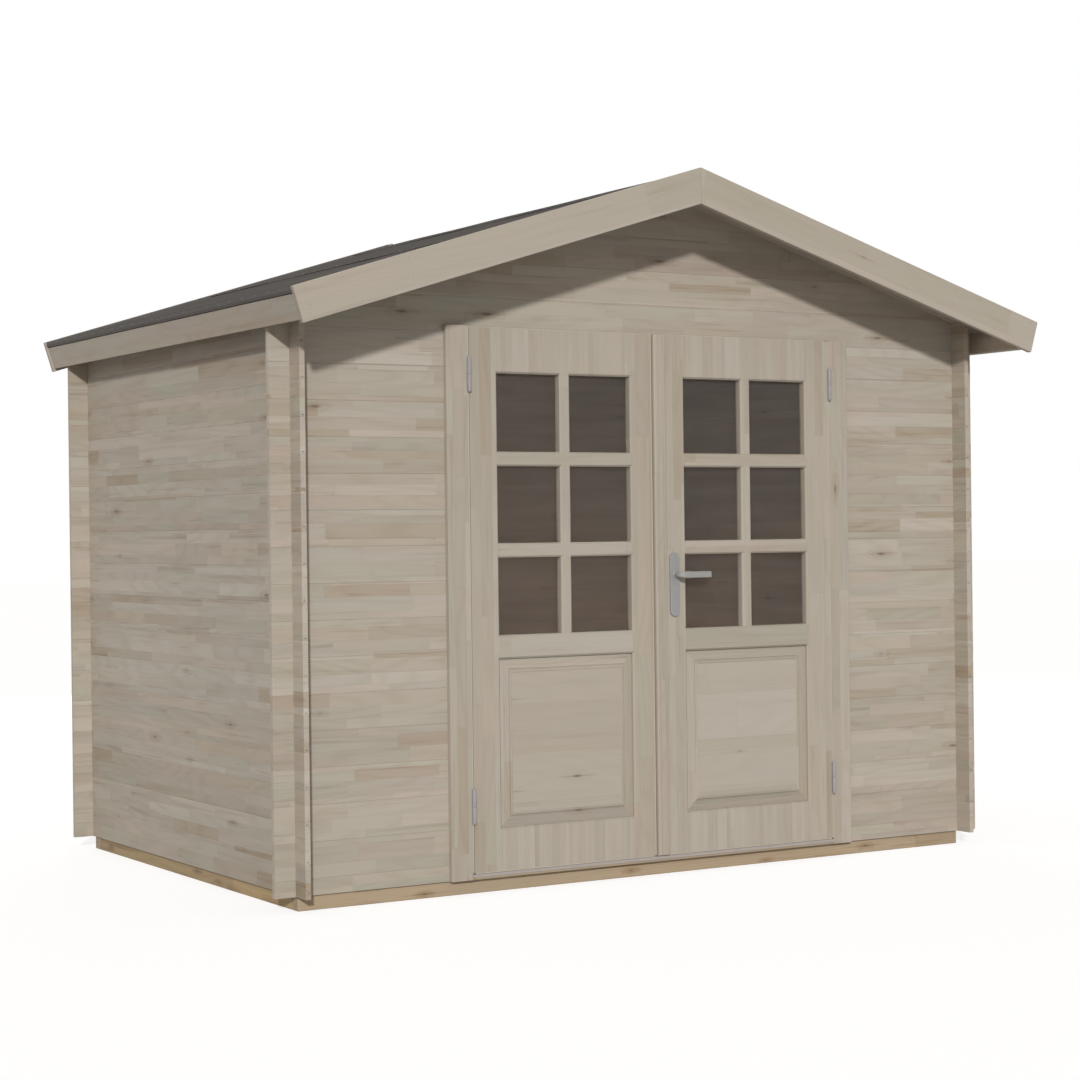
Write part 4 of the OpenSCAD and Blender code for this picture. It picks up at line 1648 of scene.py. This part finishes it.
@dataclass
class Leaf:
    """One door leaf: stiles, rails, glazing bars, a raised panel and glass."""

    side: str
    seed: float
    bar: float = 0.042
    cross_bar: float = 0.050
    panes_low: tuple[float, float] = (0.266, 0.265)
    groove: float = 0.008
    hair: float = 0.00025
    section: tuple[Flat, ...] = (
        (-0.0075, 0.0046), (0.0, 0.0046), (0.0355, 0.0102), (0.0368, 0.0074),
        (0.0395, 0.0074), (0.0402, 0.0100), (0.0415, 0.0116), (0.0450, 0.0122),
        (0.0480, 0.0117), (0.0495, 0.0103), (0.0510, 0.0108), (0.0530, 0.0108),
    )

    def __post_init__(self) -> None:
        """Takes the leaf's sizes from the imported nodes."""
        self.body = f"{self.side}_door"
        self.low, self.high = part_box(f"{self.side}_door_stiles")
        light, light_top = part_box(f"{self.side}_door_glass")
        self.x0, self.x1 = light.x + self.groove, light_top.x - self.groove
        self.light = (light.z + self.groove, light_top.z - self.groove)
        panel, panel_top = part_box(f"{self.side}_door_panel")
        self.field = (panel.z + self.groove, panel_top.z - self.groove)
        middle = (self.x0 + self.x1) / 2
        rows, at = [], self.light[0]
        for height in self.panes_low:
            rows.append((at, at + height))
            at += height + self.cross_bar
        rows.append((at, self.light[1]))
        columns = ((self.x0, middle - self.bar / 2), (middle + self.bar / 2, self.x1))
        self.panes = [Opening(*column, *row) for row in rows for column in columns]
        self.opening = Opening(self.x0, self.x1, *self.field)
        self.carving = Carving(self.low.y, self.high.y, [*self.panes, self.opening])

    def build(self) -> None:
        """Builds the leaf's parts in the order of its making."""
        upright = Pine(
            f"{self.side}_stile_wood", Grain.UPRIGHT_FRONT, strip=0.040, piece=0.46,
            knots=0.10, contrast=0.75, seed=self.seed,
        )
        narrow = replace(
            upright, name=f"{self.side}_rail_wood", strip=0.021, piece=2.3, contrast=0.48,
            seed=self.seed + 3,
        )
        level = Pine(
            f"{self.side}_bar_wood", Grain.LEVEL_X, strip=0.09, piece=0.8, knots=0.10,
            contrast=0.8, seed=self.seed + 5,
        )
        self.stiles(upright)
        self.rails(narrow, level)
        self.bars(upright, level)
        self.panel(upright, level)
        dress(f"{self.side}_door_glass", Pane("window_glass"))

    def stiles(self, finish: Pine) -> None:
        """Builds both stiles with their chamfers beside the openings.

        Args:
            finish: the wood.
        """
        form = Form()
        self.carving.cut(form, self.low.x, self.x0, self.low.z, self.high.z)
        self.carving.cut(form, self.x1, self.high.x, self.low.z, self.high.z)
        piece = form.piece(f"{self.side}_stiles", [finish])
        fit(piece, self.body, "door_wood", f"{self.side}_door_stiles")

    def rails(self, narrow: Pine, level: Pine) -> None:
        """Builds the bottom and top rails of upright strips, and the level middle rail.

        Args:
            narrow: the wood of narrow upright strips.
            level: the level wood.
        """
        form = Form()
        x0, x1 = self.x0 + self.hair, self.x1 - self.hair
        self.carving.cut(form, x0, x1, self.low.z, self.field[0])
        self.carving.cut(form, x0, x1, self.field[1], self.light[0], 1)
        self.carving.cut(form, x0, x1, self.light[1], self.high.z)
        piece = form.piece(f"{self.side}_rails", [narrow, level])
        fit(piece, self.body, "door_wood", f"{self.side}_door_rails")

    def bars(self, upright: Pine, level: Pine) -> None:
        """Builds the bars between the panes, chamfered on both faces.

        Args:
            upright: the wood of the upright bar.
            level: the wood of the cross bars.
        """
        form = Form()
        x0, x1 = self.x0 + self.hair, self.x1 - self.hair
        z0, z1 = self.light[0] + self.hair, self.light[1] - self.hair
        self.carving.cut(form, x0, x1, z0, z1)
        form.mark(lambda middle: int(not any(
            pane.z0 - 0.001 < middle.z < pane.z1 + 0.001 for pane in self.panes
        )))
        piece = form.piece(f"{self.side}_glazing_bars", [upright, level])
        fit(piece, self.body, "door_wood")

    def panel(self, upright: Pine, level: Pine) -> None:
        """Builds the raised panel: a sloped border, a sunk line, a bead and the field.

        Args:
            upright: the wood of the side borders.
            level: the wood of the other borders.
        """
        boards = Pine(
            f"{self.side}_panel_wood", Grain.LEVEL_X, 0.17, 0.13, strip=0.20, piece=1.9,
            seam=0.06, knots=0.20, contrast=0.42, seed=self.seed + 8,
        )
        middle = (self.low.y + self.high.y) / 2
        steps = [(inset, -half) for inset, half in self.section[::-1]]
        steps += [(inset, half) for inset, half in self.section]
        rings = []
        hole = self.opening
        for inset, y in steps:
            a, b, c, d = hole.x0 + inset, hole.x1 - inset, hole.z0 + inset, hole.z1 - inset
            rings.append([(x, middle + y, z) for x, z in ((a, c), (b, c), (b, d), (a, d))])
        form = Form()
        form.rings(rings)
        rim = self.section[-3][0]

        def choose(at: Vector) -> int:
            """Gives upright wood to the side borders, and wood with painted shade to the lowest.

            Args:
                at: the face's middle.

            Returns:
                The number of its finish.
            """
            aside = min(at.x - hole.x0, hole.x1 - at.x)
            above = min(at.z - hole.z0, hole.z1 - at.z)
            if min(aside, above) > rim:
                return 2
            if aside < above:
                return 0
            return 3 if at.z - hole.z0 < hole.z1 - at.z else 1

        form.mark(choose)
        # The lowest border, which slopes down away from the light, gets lift=0.88: painted shade.
        foot = replace(level, name=f"{self.side}_panel_foot_painted_shade", lift=0.88)
        piece = form.piece(f"{self.side}_raised_panel", [upright, level, boards, foot])
        fit(piece, self.body, "panel_wood", f"{self.side}_door_panel")


@dataclass
class Hinges:
    """One leaf's two lift-off hinges, half on the post and half on the leaf."""

    side: str
    length: float = 0.115
    barrel: float = 0.007
    plate: float = 0.002
    reach: float = 0.030
    proud: float = 0.0003
    slit: float = 0.0002
    step_in: float = 0.001
    screws: int = 4
    screw: Flat = (0.0034, 0.0007)
    screw_first: Flat = (0.016, 0.015)
    screw_pitch: float = 0.0283
    screw_aside: float = 0.004
    rim: float = 0.0006
    dome: tuple[Flat, ...] = ((0.0008, 0.72), (0.0022, 0.74), (0.0036, 0.55), (0.0043, 0.22))

    def build(self) -> None:
        """Builds both halves of both hinges."""
        low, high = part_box(f"{self.side}_door_hinges")
        leaf_low, leaf_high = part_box(f"{self.side}_door_stiles")
        toward = 1 if self.side == "left" else -1
        axis = ((low.x + high.x) / 2, low.y + self.barrel)
        edge = leaf_low.x if toward > 0 else leaf_high.x
        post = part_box(f"{self.side}_post_hinges")
        feet = (post[0].z, high.z - self.length)
        knuckle = self.length / 2 - self.slit
        gap = abs(edge - axis[0]) * 2
        for body, name, node, face, way, base, cap in (
            ("cabin", f"{self.side}_post_halves", f"{self.side}_post_hinges",
             edge - toward * gap, -toward, 0.0, -1),
            (f"{self.side}_door", f"{self.side}_leaf_halves", f"{self.side}_door_hinges",
             edge, toward, self.length - knuckle, 1),
        ):
            form, spots = Form(), []
            inner, outer = sorted((face - way * self.proud, face + way * self.plate))
            for foot in feet:
                self.knuckle(form, axis, foot + base, knuckle, cap)
                y0, y1, y2 = axis[1], leaf_low.y + self.step_in, leaf_low.y + self.reach
                for near, far, start, tall in (
                    (y0, y1, foot + base, knuckle), (y1, y2, foot, self.length),
                ):
                    outline = [(inner, near), (outer, near), (outer, far), (inner, far)]
                    form.prism(outline, 2, start, start + tall)
                out, (back, up) = face - way * self.proud, self.screw_first
                spots += [
                    (
                        (
                            out, leaf_low.y + back + self.screw_aside * (-1) ** k,
                            foot + up + self.screw_pitch * k,
                        ),
                        (-float(way), 0.0, 0.0),
                    )
                    for k in range(self.screws)
                ]
            fit(form.piece(name, [HINGE_STEEL], 0.0005, 1, True), body, "hinge_metal", node)
            Heads().set(f"{name}_screws", spots, self.screw, STEEL_UP, body)

    def knuckle(self, form: Form, axis: Flat, foot: float, length: float, cap: int) -> None:
        """Turns one knuckle with a rounded cap on its outer end.

        Args:
            form: the form that gets it.
            axis: the hinge's place on X and Y.
            foot: where the knuckle starts.
            length: how long it is.
            cap: -1 for a cap below, 1 for one above.
        """
        r, rim = self.barrel, self.rim
        body = [(0.0, r - rim), (rim, r), (length - rim, r), (length, r - rim)]
        dome = [(at, r * share) for at, share in self.dome]
        if cap > 0:
            body += [(length + at, radius) for at, radius in dome]
        else:
            body = [(-at, radius) for at, radius in dome[::-1]] + body
        form.lathe(body, (*axis, foot), 2)


@dataclass
class Closing:
    """The cover strip of the right leaf and the handle.

    Attributes:
        neck: the radius of the lever's round neck.
        bar: how thick the lever's square part is.
        tall: half the height of that part.
        bend: the radius of its bend.
        sides: how many sides the collars and the lever have.
        edge: the cover strip's moulded edge, as pairs of a place in from it and a depth.
        collar: the collar's section, as pairs of a place along the spindle and a radius.
        screw: a screw head's radius and height.
        screw_in: how far in from a plate's ends the screws are.
        sunk: how far off the plate's face the neck starts.
        early: how square the neck is where the bend starts.
        bends: how many steps the bend has.
        after: how far beyond the bend the lever is fully square.
        tips: the sections at its end, as pairs of a place before it and a size.
        round_off: how much of the roundness the square part loses.
    """

    neck: float = 0.0086
    bar: float = 0.012
    tall: float = 0.011
    bend: float = 0.020
    sides: int = 32
    edge: tuple[Flat, ...] = (
        (0.0, 0.0045), (0.0012, 0.0018), (0.0040, 0.0002), (0.0115, 0.0), (0.0125, 0.0022),
        (0.0145, 0.0022), (0.0155, 0.0),
    )
    collar: tuple[Flat, ...] = (
        (0.0003, 0.0125), (0.0020, 0.0125), (0.0032, 0.0100), (0.0040, 0.0086),
    )
    screw: Flat = (0.0032, 0.0005)
    screw_in: float = 0.017
    sunk: float = 0.003
    early: float = 0.05
    bends: int = 12
    after: float = 0.004
    tips: tuple[Flat, ...] = ((-0.0016, 1.0), (-0.0005, 0.96), (0.0, 0.88))
    round_off: float = 0.86

    def build(self) -> None:
        """Builds the strip, the two plates and the levers."""
        self.cover_strip()
        self.plates()
        self.levers()

    def cover_strip(self) -> None:
        """Draws out the moulded cover strip along the meeting edge."""
        low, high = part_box("meeting_strip")
        left = [(low.x + across, low.y + deep) for across, deep in self.edge]
        right = [(high.x - across, low.y + deep) for across, deep in self.edge[::-1]]
        form = Form()
        form.prism([(low.x, high.y), *left, *right, (high.x, high.y)], 2, low.z, high.z)
        finish = Pine(
            "cover_strip_wood", Grain.UPRIGHT_FRONT, strip=0.16, piece=0.62, knots=0.15,
            contrast=0.9, seed=131.0,
        )
        strip = form.piece("cover_strip", [finish])
        fit(strip, "right_door", "door_wood", "meeting_strip")

    def plates(self) -> None:
        """Cuts both round-ended plates, each with its two screws."""
        low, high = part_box("handle_plates")
        leaf_low, leaf_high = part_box("right_door_stiles")
        r = (high.x - low.x) / 2
        x = (low.x + high.x) / 2
        outline = [
            (x + r * math.cos(turn), z + r * math.sin(turn))
            for z, first in ((high.z - r, 0.0), (low.z + r, math.pi))
            for turn in (first + math.pi * k / 20 for k in range(21))
        ]
        form, spots = Form(), []
        for y0, y1, way in ((low.y, leaf_low.y, -1.0), (leaf_high.y, high.y, 1.0)):
            form.prism(outline, 1, y0, y1)
            face = y0 if way < 0 else y1
            rows = (low.z + self.screw_in, high.z - self.screw_in)
            spots += [((x, face, z), (0.0, way, 0.0)) for z in rows]
        plates = form.piece("round_plates", [HANDLE_METAL], 0.0026, 4)
        fit(plates, "right_door", "handle_metal", "handle_plates")
        Heads().set("plate_screws", spots, self.screw, STEEL_UP, "right_door", "handle_metal")

    def levers(self) -> None:
        """Turns the collars, and bends a round neck into a square-cut lever on both faces."""
        low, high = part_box("handle_lever")
        plate_low, plate_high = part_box("handle_plates")
        form = Form()
        centre = (low.x + (high.z - low.z) / 2, (low.z + high.z) / 2)
        for face, tip, way in ((plate_low.y, low.y, -1), (plate_high.y, high.y, 1)):
            collar = [(way * at, radius) for at, radius in self.collar]
            form.lathe(collar, (centre[0], face, centre[1]), 1, self.sides)
            form.rings(self.lever(centre, face, tip, high.x))
        lever = form.piece("levers", [LEVER_METAL], turned=True)
        fit(lever, "handle", "handle_metal", "handle_lever")

    def lever(self, centre: Flat, face: float, tip: float, end: float) -> list[list[Point]]:
        """Gives the sections of a lever from its round neck to its square end.

        Args:
            centre: the spindle's place on X and Z.
            face: where the plate's face lies on Y.
            tip: where the lever's outer face lies on Y.
            end: where the lever ends on X.

        Returns:
            The rings of the closed lever.
        """
        way = math.copysign(1.0, tip - face)
        middle = tip - way * self.bar / 2
        turn_y = middle - way * self.bend
        level = math.radians(90)
        stations = [
            (centre[0], face + way * self.sunk, 0.0, 0.0, 1.0),
            (centre[0], turn_y, 0.0, self.early, 1.0),
        ]
        for k in range(1, self.bends + 1):
            turn = level * k / self.bends
            stations.append((
                centre[0] + self.bend * (1 - math.cos(turn)),
                turn_y + way * self.bend * math.sin(turn), turn, k / self.bends, 1.0,
            ))
        stations.append((centre[0] + self.bend + self.after, middle, level, 1.0, 1.0))
        stations += [(end + on, middle, level, 1.0, size) for on, size in self.tips]
        rings = []
        for x, y, turn, square, size in stations:
            tall = size * (self.neck + (self.tall - self.neck) * square)
            thick = size * (self.neck + (self.bar / 2 - self.neck) * square)
            power = 1 - self.round_off * square
            ring = []
            for k in range(self.sides):
                spin = 2 * math.pi * (k + 0.5) / self.sides
                across, up = (
                    math.copysign(abs(part) ** power, part)
                    for part in (math.cos(spin), math.sin(spin))
                )
                ring.append((
                    x + across * thick * math.cos(turn),
                    y - way * across * thick * math.sin(turn),
                    centre[1] + up * tall,
                ))
            rings.append(ring)
        return rings


@dataclass
class Seals:
    """Soft seals in the gaps round the closed leaves, in the timber's colour lifted by painted
    light against the gaps' shade.

    Attributes:
        clear: how far a seal stays off a leaf's edge.
        sunk: how far it lies behind the leaf's face, and deep how far back it goes.
        frame_gap: how wide the gap at the posts is; the upper one is less by head_gap.
        head_in: the bounds of the upper seal behind the wall's face.
        foot_in: the bounds of a lower seal behind the leaf's face.
        foot_aside: how far it ends from the leaf's outer and inner edge.
        meeting: how far the middle seal reaches over the left leaf and off the right one.
    """

    clear: float = 0.0010
    sunk: float = 0.0017
    deep: float = 0.020
    frame_gap: float = 0.005
    head_gap: float = 0.0002
    head_in: Flat = (0.0008, 0.014)
    foot_in: Flat = (0.001, 0.012)
    foot_down: float = 0.0040
    foot_up: float = 0.0002
    foot_aside: Flat = (0.004, 0.001)
    meeting: Flat = (0.0002, 0.0026)
    ease: float = 0.0006

    def build(self) -> None:
        """Builds the seals at the posts, over, under and between the leaves."""
        left_low, left_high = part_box("left_door_stiles")
        right_low, right_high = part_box("right_door_stiles")
        face, low, high = left_low.y, left_low.z, left_high.z
        along = (face + self.sunk, face + self.deep)
        frame = Form()
        for edge, way in ((left_low.x, -1), (right_high.x, 1)):
            across = sorted((edge + way * self.clear, edge + way * self.frame_gap))
            self.bar(frame, across, along, (low, high))
        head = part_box("front_wall_left_logs")[0].y
        self.bar(
            frame, (left_low.x, right_high.x), [head + part for part in self.head_in],
            (high + self.clear, high + self.frame_gap - self.head_gap),
        )
        fit(frame.piece("frame_seals", [SEAL_PAINTED_LIGHT], self.ease, 2), "cabin", "frame_wood")
        outer, inner = self.foot_aside
        depth = [face + part for part in self.foot_in]
        for body, across in (
            ("left_door", (left_low.x + outer, left_high.x - inner)),
            ("right_door", (right_low.x + inner, right_high.x - outer)),
        ):
            foot = Form()
            self.bar(foot, across, depth, (low - self.foot_down, low + self.foot_up))
            if body == "left_door":
                near, far = self.meeting
                self.bar(foot, (left_high.x - near, right_low.x - far), along, (low, high))
            fit(foot.piece(f"{body}_seals", [SEAL_PAINTED_LIGHT], self.ease, 2), body, "door_wood")

    def bar(self, form: Form, *bounds: Sequence[float]) -> None:
        """Adds a straight bar.

        Args:
            form: the form that gets it.
            bounds: its two bounds on X, on Y and on Z.
        """
        (x0, x1), (y0, y1), tall = bounds
        form.prism([(x0, y0), (x1, y0), (x1, y1), (x0, y1)], 2, *tall)


# ---------------------------------------------------------------------- studio


@dataclass
class Studio:
    """The camera, the lamps, the white surroundings and the pale floor."""

    floor_reach: float = 60.0
    eye: Point = (-4.6215, -7.7141, 1.2315)
    yaw: float = math.radians(-31.12)
    pitch: float = math.radians(-0.18)
    roll: float = math.radians(-0.69)
    lens: float = 76.86
    sun: Point = (0.584, 1.0, -0.403)
    sun_power: float = 2.19
    sun_width: float = math.radians(3.2)
    sky_power: float = 0.39
    floor_glow: float = 0.69
    fill_at: Point = (-1.5, -9.0, 0.5)
    fill_to: Point = (0.0, 0.0, 1.3)
    fill_size: float = 3.0
    fill_power: float = 27.0
    back_at: Point = (3.4, 8.6, 2.6)
    back_size: float = 5.0
    back_power: float = 190.0

    def build(self) -> None:
        """Sets up the camera, the light and the floor."""
        scene = bpy.context.scene
        scene.view_settings.view_transform = "Standard"
        self.place_camera(scene)
        self.place_sun()
        self.place_soft("fill_light", self.fill_at, self.fill_size, self.fill_power)
        self.place_soft("back_light", self.back_at, self.back_size, self.back_power)
        self.surround(scene)
        self.lay_floor()

    def place_camera(self, scene: bpy.types.Scene) -> None:
        """Puts the camera at eye level before the front left corner.

        Args:
            scene: the scene, which looks through it.
        """
        ahead = Vector((
            -math.sin(self.yaw) * math.cos(self.pitch),
            math.cos(self.yaw) * math.cos(self.pitch),
            math.sin(self.pitch),
        ))
        level = Vector((math.cos(self.yaw), math.sin(self.yaw), 0.0))
        up = level.cross(ahead)
        right = level * math.cos(self.roll) + up * math.sin(self.roll)
        above = up * math.cos(self.roll) - level * math.sin(self.roll)
        data = bpy.data.cameras.new("camera")
        data.lens = self.lens
        data.sensor_width = 36.0
        data.clip_end = 200.0
        camera = stand("camera", data)
        turn = Matrix((right, above, -ahead)).transposed().to_4x4()
        camera.matrix_world = Matrix.Translation(self.eye) @ turn
        scene.camera = camera

    def place_sun(self) -> None:
        """Hangs one soft key light, from the left and above."""
        data = bpy.data.lights.new("key_light", "SUN")
        data.energy = self.sun_power
        data.angle = self.sun_width
        lamp = stand("key_light", data)
        lamp.rotation_euler = Vector(self.sun).to_track_quat("-Z", "Y").to_euler()

    def place_soft(self, name: str, at: Point, size: float, power: float) -> None:
        """Sets a weak, wide lamp that shines on the cabin and isn't seen itself.

        Args:
            name: the lamp's name.
            at: where it stands.
            size: its width.
            power: its power in watts.
        """
        data = bpy.data.lights.new(name, "AREA")
        data.energy = power
        data.size = size
        lamp = stand(name, data)
        lamp.location = at
        way = Vector(self.fill_to) - Vector(at)
        lamp.rotation_euler = way.to_track_quat("-Z", "Y").to_euler()
        lamp.visible_camera = False
        lamp.visible_glossy = False

    def surround(self, scene: bpy.types.Scene) -> None:
        """Fills the surroundings with soft light that looks plain white.

        Args:
            scene: the scene, which gets the new world.
        """
        world = bpy.data.worlds.new("surroundings")
        world.use_nodes = True
        world.node_tree.nodes.clear()
        scene.world = world
        sheet = Sheet(world.node_tree)
        soft = sheet.add("ShaderNodeBackground", {}, {
            "Color": (1.0, 0.985, 0.965), "Strength": self.sky_power,
        })
        white = sheet.add("ShaderNodeBackground", {}, {"Color": (1.0, 1.0, 1.0), "Strength": 1.0})
        shown = sheet.add("ShaderNodeMixShader", {}, {
            "Fac": sheet.seen(), 1: soft.out(), 2: white.out(),
        })
        sheet.add("ShaderNodeOutputWorld", {}, {"Surface": shown.out()})

    def lay_floor(self) -> None:
        """Lays the pale floor, which keeps the cabin's shadow."""
        form, reach = Form(), self.floor_reach
        corners = ((-reach, -reach), (reach, -reach), (reach, reach), (-reach, reach))
        form.solid([(x, y, 0.0) for x, y in corners], [(0, 1, 2, 3)])
        floor = form.piece("studio_floor", [PaleFloor("pale_floor", self.floor_glow)])


def main() -> None:
    """Builds the studio and then the cabin, from the ground up."""
    logging.basicConfig(level=logging.INFO, format="%(name)s: %(message)s")
    for part in (
        Studio(), Base(), Walls(), Roof(), Doorway(),
        Leaf("left", 101.0), Leaf("right", 117.0), Hinges("left"), Hinges("right"), Closing(),
        Seals(),
    ):
        LOG.info("building %s", type(part).__name__)
        part.build()


if __name__ == "__main__":
    main()
